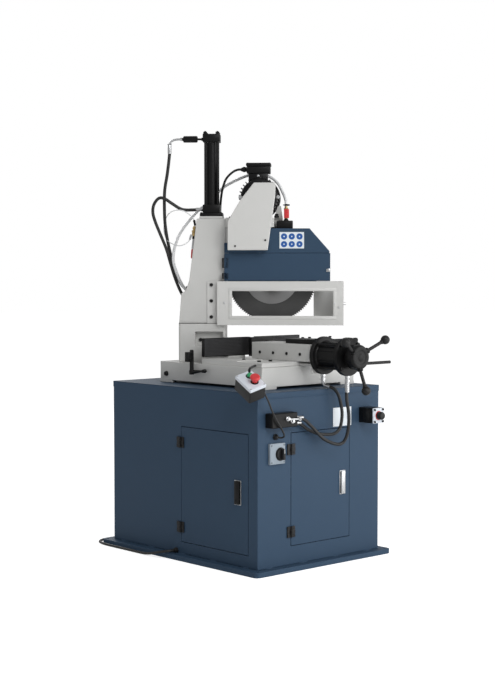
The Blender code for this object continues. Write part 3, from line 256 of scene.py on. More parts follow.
def sheathFinish(name, tone, rough, wraps, depth):
    # a wrapped or extruded sheath whose fine pattern follows the tube's own UV map
    material, tree, shader = startFinish(name, rough, 0.0)
    where = addNode(tree, "ShaderNodeTexCoord").outputs["UV"]
    spread = addNode(tree, "ShaderNodeMapping")
    spread.inputs["Scale"].default_value = wraps
    weave = addNode(tree, "ShaderNodeTexWave", wave_type="BANDS", bands_direction="DIAGONAL", Scale=1.0,
                    Distortion=0.6)
    tree.links.new(where, spread.inputs["Vector"])
    tree.links.new(spread.outputs["Vector"], weave.inputs["Vector"])
    dust = addNode(tree, "ShaderNodeTexNoise", Scale=60.0, Detail=4.0)
    tree.links.new(addNode(tree, "ShaderNodeTexCoord").outputs["Object"], dust.inputs["Vector"])
    light, dark = (tone * 1.5,) * 3, (tone * 0.8,) * 3
    tree.links.new(mixTones(tree, dust.outputs["Fac"], light, dark), shader.inputs["Base Color"])
    roughFrom(tree, shader, dust.outputs["Fac"], rough, 0.08)
    bumpFrom(tree, shader, weave.outputs["Fac"], depth)
    return material


def clearFinish(name):
    material, tree, shader = startFinish(name, 0.28, 0.0)
    shader.inputs["Transmission Weight"].default_value = 0.15
    where = addNode(tree, "ShaderNodeTexCoord").outputs["Object"]
    cloud = addNode(tree, "ShaderNodeTexNoise", Scale=40.0, Detail=4.0)
    tree.links.new(where, cloud.inputs["Vector"])
    tree.links.new(mixTones(tree, cloud.outputs["Fac"], (0.84, 0.85, 0.86), (0.76, 0.77, 0.78)),
                   shader.inputs["Base Color"])
    roughFrom(tree, shader, cloud.outputs["Fac"], 0.28, 0.06)
    return material


def finishOf(name):
    if name in madeFinishes:
        return madeFinishes[name]
    if name in paints:
        made = paintFinish(name, paints[name])
    elif name in metals:
        made = metalFinish(name, metals[name])
    elif name == "blade":
        made = bladeFinish(name, bladeLook["toneOut"])
    elif name == "bladeDisc":
        made = bladeFinish(name, bladeLook["toneIn"])
    elif name == "rubber":
        made = sheathFinish(name, 0.009, 0.46, (60.0, 4.0, 1.0), 0.0003)
    elif name == "cord":
        made = sheathFinish(name, 0.010, 0.52, (8.0, 2.0, 1.0), 0.0001)
    else:
        made = clearFinish(name)
    madeFinishes[name] = made
    return made


# modelling helpers


def addBox(bm, low, high, soft=0.0, segments=2, place=None):
    low, high = Vector(low), Vector(high)
    made = bmesh.ops.create_cube(bm, size=1)["verts"]
    bmesh.ops.scale(bm, vec=high - low, verts=made)
    bmesh.ops.translate(bm, vec=(low + high) / 2, verts=made)
    if place is not None:
        bmesh.ops.transform(bm, matrix=place, verts=made)
    if soft:
        edges = list({edge for vert in made for edge in vert.link_edges})
        bmesh.ops.bevel(bm, geom=edges, offset=soft, offset_type="OFFSET", segments=segments, profile=0.5,
                        affect="EDGES", material=-1)


def chamfered(profile, soft):
    # every inner corner of a turned profile gets a small chamfer
    kept = [profile[0]]
    for before, here, after in zip(profile, profile[1:], profile[2:]):
        for other in (before, after):
            way = Vector(other) - Vector(here)
            kept.append(tuple(Vector(here) + way.normalized() * min(soft, way.length * 0.45)))
    return kept + [profile[-1]]


def addTurned(bm, start, way, profile, sides=32, soft=0.0):
    # profile points are (distance along, radius)
    start, way = Vector(start), Vector(way).normalized()
    place = Matrix.Translation(start) @ way.to_track_quat("Z", "Y").to_matrix().to_4x4()
    points = chamfered(profile, soft) if soft else profile
    verts = [bm.verts.new(place @ Vector((radius, 0, along))) for along, radius in points]
    edges = [bm.edges.new(pair) for pair in zip(verts, verts[1:])]
    bmesh.ops.spin(bm, geom=verts + edges, cent=start, axis=way, dvec=(0, 0, 0), angle=2 * math.pi,
                   steps=sides, use_merge=True)


def addRod(bm, start, end, radius, sides=24, soft=0.0008):
    start, end = Vector(start), Vector(end)
    length = (end - start).length
    addTurned(bm, start, end - start, [(0, 0), (0, radius), (length, radius), (length, 0)], sides, soft)


def addBall(bm, centre, radius):
    made = bmesh.ops.create_uvsphere(bm, u_segments=32, v_segments=20, radius=radius)["verts"]
    bmesh.ops.translate(bm, vec=centre, verts=made)


def addNut(bm, place, way, radius, height, hole=0.0):
    # a hexagon with its corners turned off
    low = [(0, hole), (0, radius * 0.90), (radius * 0.08, radius), (height - radius * 0.10, radius)]
    addTurned(bm, place, way, low + [(height, radius * 0.86), (height, hole)], 6)


def addCapScrew(bm, place, way, radius, height):
    # a round head with a hexagon socket
    addTurned(bm, place, way,
              [(0, 0), (0, radius), (height * 0.85, radius), (height, radius * 0.86),
               (height, radius * 0.62), (height * 0.45, radius * 0.55), (height * 0.45, 0)], 20)


def addWasher(bm, place, way, radius, height=0.0016):
    addTurned(bm, place, way, [(0, 0), (0, radius), (height, radius), (height, 0)], 24, 0.0003)


def finishPiece(bm, name, body, finish, place=room, replaces=(), angle=35):
    bmesh.ops.remove_doubles(bm, verts=bm.verts, dist=1e-6)
    bmesh.ops.transform(bm, matrix=place, verts=bm.verts)
    bmesh.ops.recalc_face_normals(bm, faces=bm.faces)
    mesh = bpy.data.meshes.new(name)
    bm.to_mesh(mesh)
    bm.free()
    mesh.shade_smooth()
    mesh.set_sharp_from_angle(angle=math.radians(angle))
    mesh.materials.append(finishOf(finish))
    piece = bpy.data.objects.new(name, mesh)
    bpy.context.scene.collection.objects.link(piece)
    if body:
        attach(piece, body)
    if replaces:
        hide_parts(*replaces)
    return piece


def refinish(node, finish):
    # a node that keeps its own shape gets a full material
    materials = frame["nodes"][node].data.materials
    materials.clear()
    materials.append(finishOf(finish))


def softCopy(node, name, finish, soft, shortest=0.006, segments=2):
    # the node's own shape, merged, with its edges rounded
    source = frame["nodes"][node]
    bm = bmesh.new()
    bm.from_mesh(source.data)
    bmesh.ops.remove_doubles(bm, verts=bm.verts, dist=2e-5)
    bmesh.ops.join_triangles(bm, faces=bm.faces, angle_face_threshold=math.radians(0.5),
                             angle_shape_threshold=math.pi)
    edges = [edge for edge in bm.edges if len(edge.link_faces) == 2 and edge.calc_length() > shortest
             and edge.calc_face_angle(0) > math.radians(50)]
    bmesh.ops.bevel(bm, geom=edges, offset=soft, offset_type="OFFSET", segments=segments, profile=0.5,
                    affect="EDGES", material=-1)
    piece = finishPiece(bm, name, source["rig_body"], finish, replaces=(node,), angle=38)
    weights = piece.modifiers.new("flat faces", "WEIGHTED_NORMAL")
    weights.keep_sharp = True
    return piece


def smoothRoute(points, step):
    points = [Vector(point) for point in points]
    ends = [2 * points[0] - points[1]] + points + [2 * points[-1] - points[-2]]
    route = []
    for a, b, c, d in zip(ends, ends[1:], ends[2:], ends[3:]):
        count = max(1, round((c - b).length / step))
        for k in range(count):
            t = k / count
            route.append(0.5 * (2 * b + (c - a) * t + (2 * a - 5 * b + 4 * c - d) * t * t
                                + (3 * b - a - 3 * c + d) * t ** 3))
    return route + [points[-1]]


def makeTube(name, route, radius, body, finish, place=room, replaces=(), fine=4):
    curve = bpy.data.curves.new(name + "Line", "CURVE")
    curve.dimensions = "3D"
    curve.bevel_depth = radius
    curve.bevel_resolution = fine
    curve.use_fill_caps = True
    spline = curve.splines.new("POLY")
    spline.points.add(len(route) - 1)
    for point, spot in zip(spline.points, route):
        point.co = (*spot, 1)
    spline.use_smooth = True
    line = bpy.data.objects.new(name + "Line", curve)
    bpy.context.scene.collection.objects.link(line)
    mesh = bpy.data.meshes.new_from_object(line.evaluated_get(bpy.context.evaluated_depsgraph_get()))
    bm = bmesh.new()
    bm.from_mesh(mesh)
    bpy.data.objects.remove(line)
    bpy.data.meshes.remove(mesh)
    bpy.data.curves.remove(curve)
    return finishPiece(bm, name, body, finish, place, replaces, angle=50)


# power cord

cordLook = {
    "radius": 0.005, "step": 0.006, "coilCentre": (-0.085, 0.585), "outer": 0.065, "floor": 0.0053,
    "turns": 4.9, "perTurn": 48,
    "route": [
        (-0.3495, 0.030, 0.0310), (-0.358, 0.0302, 0.0312), (-0.368, 0.0335, 0.0308),
        (-0.3775, 0.041, 0.0300), (-0.385, 0.052, 0.0280), (-0.3892, 0.068, 0.0245),
        (-0.3905, 0.088, 0.0195), (-0.3908, 0.112, 0.0135), (-0.3905, 0.140, 0.0085),
        (-0.390, 0.170, 0.0060), (-0.3895, 0.210, 0.0053), (-0.389, 0.300, 0.0053), (-0.388, 0.400, 0.0053),
        (-0.383, 0.450, 0.0053), (-0.368, 0.492, 0.0053), (-0.340, 0.514, 0.0053), (-0.300, 0.522, 0.0053),
        (-0.210, 0.521, 0.0053), (-0.123, 0.5195, 0.0053),
    ],
    "wayOut": [(-0.106, 0.5215, 0.0256), (-0.085, 0.5135, 0.0257), (-0.060, 0.5105, 0.0252),
               (-0.0375, 0.510, 0.0248)],
    "plug": (-0.0375, 0.510, 0.0248), "ribs": 10, "pins": 5, "pinRing": 0.0118, "gland": (0.030, 0.031),
    "tieSize": (0.011, 0.0290, 0.0318),
}


def eased(value):
    value = min(1.0, max(0.0, value))
    return value * value * (3 - 2 * value)


def coilRoute(look):
    # two turns inwards on the floor, two outwards on top of them, and most of one more on those
    thick, cx, cy = 2 * look["radius"], *look["coilCentre"]
    points = []
    for k in range(round(look["turns"] * look["perTurn"]) + 1):
        turn = k / look["perTurn"]
        angle = math.radians(360 * turn - 90)
        radius = look["outer"] - thick * (2 - abs(min(turn, 4) - 2))
        lift = eased((turn - 1.88) / 0.24) + eased((turn - 3.88) / 0.24)
        points.append(Vector((cx + radius * math.cos(angle), cy + radius * math.sin(angle),
                              look["floor"] + thick * lift)))
    return points


def lengthOf(route):
    return sum((b - a).length for a, b in zip(route, route[1:]))


def cordRoute(look):
    start = smoothRoute(look["route"], look["step"])
    coil = coilRoute(look)
    end = smoothRoute([coil[-1]] + look["wayOut"], look["step"])
    between = smoothRoute([start[-2], start[-1], coil[0], coil[2]], look["step"])
    first = next(i for i, point in enumerate(between) if (point - start[-1]).length < 1e-6)
    last = next(i for i, point in enumerate(between) if (point - coil[0]).length < 1e-6)
    return start + between[first + 1:last] + coil[:-1] + end


def makePlug(look):
    px, py, pz = look["plug"]
    bm = bmesh.new()
    addTurned(bm, (px, py, pz), (1, 0, 0),
              [(0, 0), (0, 0.0078), (0.010, 0.0088), (0.024, 0.0150), (0.030, 0.0190), (0.034, 0.0205),
               (0.062, 0.0210), (0.064, 0.0236), (0.116, 0.0236), (0.118, 0.0226), (0.118, 0.0200),
               (0.084, 0.0196), (0.084, 0)], 40)
    for k in range(look["ribs"]):
        angle = 2 * math.pi * k / look["ribs"]
        rib = Matrix.Translation((px, py, pz)) @ Matrix.Rotation(angle, 4, "X")
        addBox(bm, (0.037, -0.0022, 0.019), (0.061, 0.0022, 0.0222), 0.0008, 1, rib)
    addBox(bm, (px + 0.068, py - 0.003, pz + 0.0215), (px + 0.112, py + 0.003, pz + 0.0241), 0.0006, 1)
    plug = finishPiece(bm, "powerPlug", "base", "red", replaces=("power_plug",))
    bm = bmesh.new()
    for k in range(look["pins"]):
        angle = 2 * math.pi * k / look["pins"]
        y, z = py + look["pinRing"] * math.cos(angle), pz + look["pinRing"] * math.sin(angle)
        addRod(bm, (px + 0.080, y, z), (px + 0.112, y, z), 0.0026, 12, 0.0006)
    return plug, finishPiece(bm, "plugPins", "base", "brass")


def makeCordGland(look):
    y, z = look["gland"]
    bm = bmesh.new()
    addNut(bm, (leftFace - 0.0006, y, z), (-1, 0, 0), 0.0112, 0.0055)
    addTurned(bm, (leftFace - 0.0055, y, z), (-1, 0, 0),
              [(0, 0), (0, 0.0098), (0.0028, 0.0098), (0.0034, 0.0086), (0.0052, 0.0086), (0.0060, 0.0078),
               (0.0078, 0.0078), (0.0086, 0.0070), (0.0104, 0.0070), (0.0112, 0.0064), (0.0136, 0.0064),
               (0.0136, 0)], 28)
    return finishPiece(bm, "cordGland", "base", "blackPlastic", replaces=("power_cord_gland",))


def makeCoilTie(look):
    # a strip round the turns, open at both of its edges
    cx, cy = look["coilCentre"]
    bm = bmesh.new()
    made = bmesh.ops.create_cube(bm, size=1)["verts"]
    bmesh.ops.scale(bm, vec=look["tieSize"], verts=made)
    bmesh.ops.translate(bm, vec=(cx, cy + 0.055, 0.0161), verts=made)
    ends = [face for face in bm.faces if abs(face.normal.x) > 0.9]
    bmesh.ops.delete(bm, geom=ends, context="FACES_ONLY")
    bmesh.ops.bevel(bm, geom=[edge for edge in bm.edges if not edge.is_boundary], offset=0.006,
                    offset_type="OFFSET", segments=4, profile=0.5, affect="EDGES", material=-1)
    bmesh.ops.solidify(bm, geom=bm.faces[:], thickness=-0.0009)
    return finishPiece(bm, "coilTie", "base", "blackPlastic")


def makePowerCord(look):
    route = cordRoute(look)
    cord = makeTube("powerCord", route, look["radius"], "base", "cord",
                    replaces=("power_cord", "power_cord_coil"))
    plug, pins = makePlug(look)
    gland = makeCordGland(look)
    tie = makeCoilTie(look)
    print("power cord", round(lengthOf(route), 3), "m")


makePowerCord(cordLook)

# cabinet

cabinetLook = {
    "bandLow": 0.657, "bandOut": 0.0014, "weldLength": 0.034, "weldRadius": 0.0028, "weldRipples": 16,
    "frontWelds": (-0.27, -0.09, 0.09, 0.27), "sideWelds": (-0.38, -0.19, 0.0, 0.19, 0.38),
    "plate": (0.069, 0.171, 0.530, 0.6035), "gland": (-0.2412, 0.5140),
}


def makeCabinet(look):
    softCopy("base_plate", "basePlate", "blue", 0.0015)
    softCopy("cabinet_shell", "cabinetShell", "blue", 0.0022)
    low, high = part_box("cabinet_shell")
    out = look["bandOut"]
    bm = bmesh.new()
    for y in (low.y - out, high.y - 0.0004):
        addBox(bm, (low.x - 0.0003, y, look["bandLow"]),
               (high.x + 0.0003, y + out + 0.0004, high.z + 0.0008), 0.0006)
    addBox(bm, (low.x - 0.0003, low.y - out, high.z - 0.0002),
           (high.x + 0.0003, high.y + out, high.z + 0.0003))
    finishPiece(bm, "topSheet", "base", "blue")


def makeWelds(look):
    low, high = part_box("cabinet_shell")
    bm = bmesh.new()
    half, seam = look["weldLength"] / 2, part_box("base_plate")[1].z
    welds = [((x, y, seam), (1, 0, 0)) for x in look["frontWelds"] for y in (low.y, high.y)]
    welds += [((x, y, seam), (0, 1, 0)) for y in look["sideWelds"] for x in (low.x, high.x)]
    radius, steps = look["weldRadius"], look["weldRipples"]
    bead = [(0, 0)]
    for k in range(steps + 1):
        ripple = radius * (0.82 + 0.18 * (k % 2))
        bead.append((k * half * 2 / steps, ripple * min(1, 0.5 + k / 3, 0.5 + (steps - k) / 3)))
    bead.append((2 * half, 0))
    for middle, way in welds:
        addTurned(bm, Vector(middle) - Vector(way) * half, way, bead, 10)
    finishPiece(bm, "weldBeads", "base", "blue", angle=60)


def makeNamePlate(look):
    x0, x1, z0, z1 = look["plate"]
    bm = bmesh.new()
    addBox(bm, (x0, frontFace - 0.0010, z0), (x1, frontFace - 0.0001, z1), 0.0003)
    finishPiece(bm, "namePlate", "base", "label")
    bm = bmesh.new()
    for x in (x0 + 0.005, x1 - 0.005):
        for z in (z0 + 0.005, z1 - 0.005):
            addTurned(bm, (x, frontFace - 0.0008, z), (0, -1, 0),
                      [(0, 0), (0, 0.0022), (0.0008, 0.0018), (0.0012, 0)], 12)
    finishPiece(bm, "plateRivets", "base", "zinc")


def makeCableGland(look):
    gx, gz = look["gland"]
    bm = bmesh.new()
    addNut(bm, (gx, frontFace, gz), (0, -1, 0), 0.0125, 0.006)
    addTurned(bm, (gx, frontFace - 0.006, gz), (0, -1, 0),
              [(0, 0), (0, 0.0095), (0.004, 0.0095), (0.006, 0.0075), (0.010, 0.0058), (0.010, 0)],
              24, 0.0006)
    finishPiece(bm, "cableGland", "base", "blackPlastic")


hingeLook = {"height": 0.042, "leaf": 0.021, "thick": 0.0042, "barrel": 0.0052, "knuckles": 3,
             "hinges": {
                 "front_hinge_upper": ("front_door", 0.461),
                 "front_hinge_lower": ("front_door", 0.146),
                 "side_hinge_upper": ("side_door", 0.463),
                 "side_hinge_lower": ("side_door", 0.127)}}


def makeHinges(look):
    half, inset = look["height"] / 2, Vector((0.0008, 0.0008, 0))
    for node, (door, z) in look["hinges"].items():
        joint = next(j for j in frame["joints"] if j["child"] == door)
        axis = Vector(joint["pos_m"])
        front = door == "front_door"
        out = Vector((0, -1, 0)) if front else Vector((-1, 0, 0))
        along = Vector((1, 0, 0)) if front else Vector((0, -1, 0))
        where, _, place = node.split("_")
        name = f"{where}Hinge{place.capitalize()}"
        for side, body, suffix in ((-1, "base", "Leaf"), (1, door, "DoorLeaf")):
            bm = bmesh.new()
            face = Vector((axis.x, frontFace, 0)) if front else Vector((leftFace, axis.y, 0))
            near, far = face + along * side * 0.0015 + out * 0.0004, face + along * side * look["leaf"]
            far = far + out * look["thick"]
            low = Vector([min(near[i], far[i]) for i in range(3)]) + Vector((0, 0, z - half))
            high = Vector([max(near[i], far[i]) for i in range(3)]) + Vector((0, 0, z + half))
            addBox(bm, low, high, 0.0008)
            for k in range(look["knuckles"]):
                # the outer knuckles belong to the fixed leaf, the middle one to the door's
                if (k % 2 == 0) == (side < 0):
                    a = z - half + k * look["height"] / look["knuckles"]
                    b = a + look["height"] / look["knuckles"] - 0.0004
                    addRod(bm, (axis.x, axis.y, a), (axis.x, axis.y, b), look["barrel"], 24, 0.0004)
                    lower = Vector((min(axis.x, low.x), min(axis.y, low.y), a)) + inset
                    upper = Vector((max(axis.x, high.x), max(axis.y, high.y), b)) - inset
                    addBox(bm, lower, upper)
            finishPiece(bm, name + suffix, body, "blackPlastic", replaces=(node,) if side < 0 else ())
            bm = bmesh.new()
            for dz in (-0.012, 0.012):
                spot = face + along * side * 0.0125 + out * (look["thick"] - 0.0003) + Vector((0, 0, z + dz))
                addTurned(bm, spot, out,
                          [(0, 0), (0, 0.0034), (0.0010, 0.0030), (0.0010, 0.0014), (0.0004, 0.0012),
                           (0.0004, 0)], 16)
            finishPiece(bm, name + suffix + "Screws", body, "oxide")


latchLook = {"wellTall": 0.0440, "wellThick": 0.0016, "ribs": 4}


def makeLatches(look):
    tall = look["wellTall"]
    for side, finish in (("front", "zinc"), ("side", "black")):
        node, door = side + "_latch_handle", side + "_door"
        low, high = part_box(node)
        middle = (low + high) / 2
        front = side == "front"
        # the piece is drawn facing -Y and turned for the side door
        place = Matrix.Translation((middle.x, frontFace, middle.z)) if front else (
            Matrix.Translation((leftFace, middle.y, middle.z)) @ Matrix.Rotation(-math.pi / 2, 4, "Z"))
        width = (high.x - low.x if front else high.y - low.y) / 2
        tallHalf = (high.z - low.z) / 2
        bm = bmesh.new()
        for sign in (-1, 1):
            x, z = sign * (width + 0.0036), sign * (tall + 0.0012)
            addBox(bm, (x - 0.0016, -0.0032, -tall), (x + 0.0016, -0.0002, tall), 0.0006)
            addBox(bm, (-width - 0.0050, -0.0032, z - 0.0016), (width + 0.0050, -0.0002, z + 0.0016), 0.0006)
        finishPiece(bm, side + "LatchRim", door, "zinc", place)
        # a flat near-black plate on the door face, painted as the shade inside the latch's recess
        bm = bmesh.new()
        addBox(bm, (-width - 0.0030, -look["wellThick"], -tall), (width + 0.0030, -0.0002, tall))
        finishPiece(bm, side + "LatchWellShade", door, "dark", place)
        bm = bmesh.new()
        addBox(bm, (-width, -0.0098, -tallHalf), (width, -0.0024, tallHalf), 0.0022, 3)
        addTurned(bm, (0, -0.0096, -tallHalf + 0.016), (0, -1, 0),
                  [(0, 0), (0, 0.0068), (0.0014, 0.0062), (0.0014, 0.0048), (0.0006, 0.0046), (0.0006, 0)],
                  24)
        for k in range(look["ribs"]):
            addBox(bm, (-width * 0.6, -0.0106, 0.010 + k * 0.006),
                   (width * 0.6, -0.0094, 0.013 + k * 0.006), 0.0004)
        finishPiece(bm, side + "LatchHandle", side + "_latch", finish, place, (node,))


def makeDoors():
    softCopy("front_door", "frontDoor", "blue", 0.0008)
    softCopy("side_door", "sideDoor", "blue", 0.0008)
    makeHinges(hingeLook)
    makeLatches(latchLook)


switchLook = {"plate": (-0.2770, -0.2000, 0.4120, 0.4905), "thick": 0.013, "centre": (-0.2246, 0.4493)}


def makeMainSwitch(look):
    x0, x1, z0, z1 = look["plate"]
    cx, cz = look["centre"]
    bm = bmesh.new()
    addBox(bm, (x0, frontFace - look["thick"], z0), (x1, frontFace - 0.0003, z1), 0.0022, 3)
    finishPiece(bm, "switchPlate", "base", "plateGrey")
    bm = bmesh.new()
    for x in (x0 + 0.007, x1 - 0.006):
        for z in (z0 + 0.007, z1 - 0.007):
            addCapScrew(bm, (x, frontFace - look["thick"] + 0.0008, z), (0, -1, 0), 0.0030, 0.0014)
    addTurned(bm, (cx, frontFace - look["thick"] + 0.001, cz), (0, -1, 0),
              [(0, 0), (0, 0.0262), (0.0016, 0.0254), (0.0016, 0)], 44)
    finishPiece(bm, "switchRing", "base", "oxide")
    bm = bmesh.new()
    addTurned(bm, (cx, frontFace - 0.0142, cz), (0, -1, 0),
              [(0, 0), (0, 0.0228), (0.0022, 0.0228), (0.0058, 0.0205), (0.0070, 0.0160), (0.0070, 0)],
              44, 0.0005)
    addBox(bm, (cx - 0.0058, frontFace - 0.0358, cz - 0.0208),
           (cx + 0.0058, frontFace - 0.0195, cz + 0.0208), 0.0018, 3)
    finishPiece(bm, "switchKnob", "main_switch", "blackPlastic", replaces=("main_switch_knob",))
    bm = bmesh.new()
    addBox(bm, (cx - 0.0010, frontFace - 0.0362, cz + 0.004), (cx + 0.0010, frontFace - 0.0354, cz + 0.0195))
    finishPiece(bm, "switchMark", "main_switch", "label")


valveLook = {"x": 0.245, "z": 0.568, "half": 0.030, "front": -0.522, "plateThick": 0.0080, "corner": 0.0235,
             "grooves": (-0.500, -0.484, -0.468), "grips": 16}


def makeFlowValve(look):
    x, z, half, front = look["x"], look["z"], look["half"], look["front"]
    bm = bmesh.new()
    addBox(bm, (x - half, front + look["plateThick"], z - half),
           (x + half, frontFace - 0.0004, z + half), 0.0020)
    for y in look["grooves"]:
        addBox(bm, (x - half - 0.0008, y, z - half + 0.004),
               (x + half + 0.0008, y + 0.003, z + half - 0.004), 0.0006)
    finishPiece(bm, "flowValve", "base", "black", replaces=("flow_valve",))
    bm = bmesh.new()
    addBox(bm, (x - half, front + 0.0008, z - half),
           (x + half, front + look["plateThick"] - 0.0003, z + half), 0.0018, 3)
    finishPiece(bm, "valvePlate", "base", "lid")
    bm = bmesh.new()
    for i in (-1, 1):
        for k in (-1, 1):
            addCapScrew(bm, (x + i * look["corner"], front + 0.0010, z + k * look["corner"]), (0, -1, 0),
                        0.0046, 0.0040)
    finishPiece(bm, "valveScrews", "base", "oxide")
    bm = bmesh.new()
    addTurned(bm, (x, front + 0.0006, z), (0, -1, 0),
              [(0, 0), (0, 0.0185), (0.0005, 0.0180), (0.0005, 0)], 40)
    finishPiece(bm, "valveDial", "base", "red")
    bm = bmesh.new()
    addTurned(bm, (x, front, z), (0, -1, 0),
              [(0, 0), (0, 0.0155), (0.017, 0.0150), (0.0215, 0.0130), (0.0215, 0)], 40, 0.0006)
    for k in range(look["grips"]):
        grip = Matrix.Translation((x, 0, z)) @ Matrix.Rotation(2 * math.pi * k / look["grips"], 4, "Y")
        addBox(bm, (-0.0010, front - 0.016, 0.0148), (0.0010, front - 0.002, 0.0160), 0.0004, 1, grip)
    finishPiece(bm, "flowKnob", "flow_knob", "blackPlastic", replaces=("flow_knob",))


manifoldLook = {"ends": ((-0.1600, -0.470, 0.582), (-0.1600, -0.458, 0.562)),
                "plugs": ((-0.216, 0.584), (-0.192, 0.574))}


def addFerrule(bm, start, way, radius, length):
    # a crimped sleeve over a hose end, with its nut
    start, way = Vector(start), Vector(way).normalized()
    addNut(bm, start, way, radius + 0.0034, 0.010)
    low, high, steps = radius + 0.0014, radius + 0.0022, 6
    profile = [(0, 0), (0, radius + 0.0008)]
    for k in range(steps):
        a = length * (k + 0.15) / steps
        profile += [(a, high), (a + length * 0.5 / steps, high), (a + length * 0.62 / steps, low)]
    addTurned(bm, start + way * 0.0098, way, profile + [(length, low), (length, 0)], 28)


def makeManifold(look):
    softCopy("hydraulic_manifold", "manifoldBlock", "black", 0.0015)
    bm = bmesh.new()
    for x, y, z in look["ends"]:
        addFerrule(bm, (x + 0.0004, y, z), (1, 0, 0), 0.0052, 0.026)
    for x, z in look["plugs"]:
        addNut(bm, (x, -0.4815, z), (0, -1, 0), 0.0098, 0.007)
        addRod(bm, (x, -0.488, z), (x, -0.4945, z), 0.0062, 20)
    addRod(bm, (-0.2100, -0.4880, 0.5825), (-0.1530, -0.4880, 0.5790), 0.0042, 20)
    addNut(bm, (-0.1640, -0.4880, 0.5797), (1, 0, -0.06), 0.0078, 0.012)
    finishPiece(bm, "manifoldFittings", "base", "zinc")


makeCabinet(cabinetLook)
makeWelds(cabinetLook)
makeNamePlate(cabinetLook)
makeCableGland(cabinetLook)
makeDoors()
makeMainSwitch(switchLook)
makeFlowValve(valveLook)
makeManifold(manifoldLook)
print("cabinet made")

# bed and vise

bedLook = {"footBolts": (0.2385, -0.290), "boltZ": 0.7165}


def makeBed(look):
    softCopy("bed_casting", "bedCasting", "casting", 0.0022)
    softCopy("turntable", "turntableFoot", "casting", 0.0014)
    softCopy("vise_bed", "viseBed", "casting", 0.0014)
    softCopy("movable_jaw", "movableJaw", "casting", 0.0016)
    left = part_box("bed_casting")[0].x
    bm = bmesh.new()
    for y in look["footBolts"]:
        addTurned(bm, (left + 0.001, y, look["boltZ"]), (-1, 0, 0),
                  [(0, 0), (0, 0.0105), (0.003, 0.0105), (0.003, 0.0092), (0.009, 0.0092), (0.010, 0.0084),
                   (0.010, 0.0052), (0.006, 0.0048), (0.006, 0)], 32)
    finishPiece(bm, "footBolts", "base", "oxide")


knurlLook = {"pitch": 0.0056, "tooth": 0.0016, "margin": 0.003, "rightEnd": 0.328}


def addKnurl(bm, low, high, out):
    # rows of small pyramids on the upright face between two corners; out is +1 or -1 along Y
    wide, tall = high.x - low.x, high.z - low.z
    across, up = round(wide / knurlLook["pitch"]), round(tall / knurlLook["pitch"])
    before = set(bm.faces)
    made = bmesh.ops.create_grid(bm, x_segments=across, y_segments=up, size=0.5)["verts"]
    bmesh.ops.scale(bm, vec=(wide, tall, 1), verts=made)
    turn = Matrix.Rotation(math.pi / 2 if out < 0 else -math.pi / 2, 4, "X")
    middle = ((low.x + high.x) / 2, low.y, (low.z + high.z) / 2)
    bmesh.ops.transform(bm, matrix=Matrix.Translation(middle) @ turn, verts=made)
    faces = [face for face in bm.faces if face not in before]
    ring = bmesh.ops.extrude_face_region(bm, geom=faces)
    grown = [item for item in ring["geom"] if isinstance(item, bmesh.types.BMVert)]
    bmesh.ops.translate(bm, vec=(0, out * 0.0003, 0), verts=grown)
    outer = [item for item in ring["geom"] if isinstance(item, bmesh.types.BMFace)]
    bmesh.ops.recalc_face_normals(bm, faces=bm.faces)
    bmesh.ops.poke(bm, faces=outer, offset=knurlLook["tooth"])


def makeJaws(look):
    margin = look["margin"]
    for node, name, faceY, out in (("fixed_jaw_left", "fixedJawLeft", 0.010, -1),
                                   ("fixed_jaw_right", "fixedJawRight", 0.010, -1),
                                   ("movable_jaw_insert", "movableJawInsert", -0.050, 1)):
        softCopy(node, name, "black", 0.0008)
        low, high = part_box(node)
        right = min(high.x, look["rightEnd"])
        bm = bmesh.new()
        addKnurl(bm, Vector((low.x + margin, faceY, low.z + margin)),
                 Vector((right - margin, faceY, high.z - margin)), out)
        finishPiece(bm, name + "Knurl", frame["nodes"][node]["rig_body"], "knurl", angle=20)


viseLook = {"x": 0.035, "z": 0.8095, "front": -0.418, "rear": -0.562, "flange": 0.0735, "barrel": 0.054,
            "rodRing": 0.064, "rods": 4, "strips": 8, "ports": (-0.420, -0.550), "hoseZ": 0.7225}


def makeViseCylinder(look):
    x, z, front, rear = look["x"], look["z"], look["front"], look["rear"]
    flange, barrel = look["flange"], look["barrel"]
    long = front - rear
    bm = bmesh.new()
    addTurned(bm, (x, front, z), (0, -1, 0),
              [(0, 0), (0, flange), (0.018, flange), (0.018, barrel + 0.004), (0.022, barrel + 0.001),
               (0.022, barrel), (long - 0.022, barrel), (long - 0.022, barrel + 0.001),
               (long - 0.018, barrel + 0.004), (long - 0.018, flange), (long, flange), (long, 0)],
              72, 0.0012)
    for k in range(look["rods"]):
        angle = math.radians(45 + 90 * k)
        px, pz = x + look["rodRing"] * math.cos(angle), z + look["rodRing"] * math.sin(angle)
        addRod(bm, (px, rear + 0.010, pz), (px, front - 0.010, pz), 0.0046, 20)
        addNut(bm, (px, rear - 0.0005, pz), (0, -1, 0), 0.0080, 0.0060)
    for k in range(look["strips"]):
        angle = math.radians(22.5 + 45 * k)
        px, pz = x + (barrel + 0.0005) * math.cos(angle), z + (barrel + 0.0005) * math.sin(angle)
        addRod(bm, (px, rear + 0.019, pz), (px, front - 0.019, pz), 0.0022, 10, 0)
    finishPiece(bm, "viseCylinder", "base", "black", replaces=("vise_cylinder",))


def makeViseFittings(look):
    x, z = look["x"], look["z"]
    bm = bmesh.new()
    close, away = look["ports"]
    for y in (close, away):
        addNut(bm, (x, y, z - look["flange"] + 0.0010), (0, 0, -1), 0.0098, 0.010)
        addRod(bm, (x, y, 0.7300), (x, y, 0.7215), 0.0070, 20)
    addFerrule(bm, (x, away, look["hoseZ"]), (0, 0, -1), 0.0066, 0.040)
    addNut(bm, (x, close, look["hoseZ"] - 0.0003), (0, 0, -1), 0.0100, 0.008)
    finishPiece(bm, "viseFittings", "base", "zinc")


wheelLook = {"angles": (31, 151, 271), "reach": 0.125, "lean": 0.048, "middle": 0.037, "ball": 0.0175}


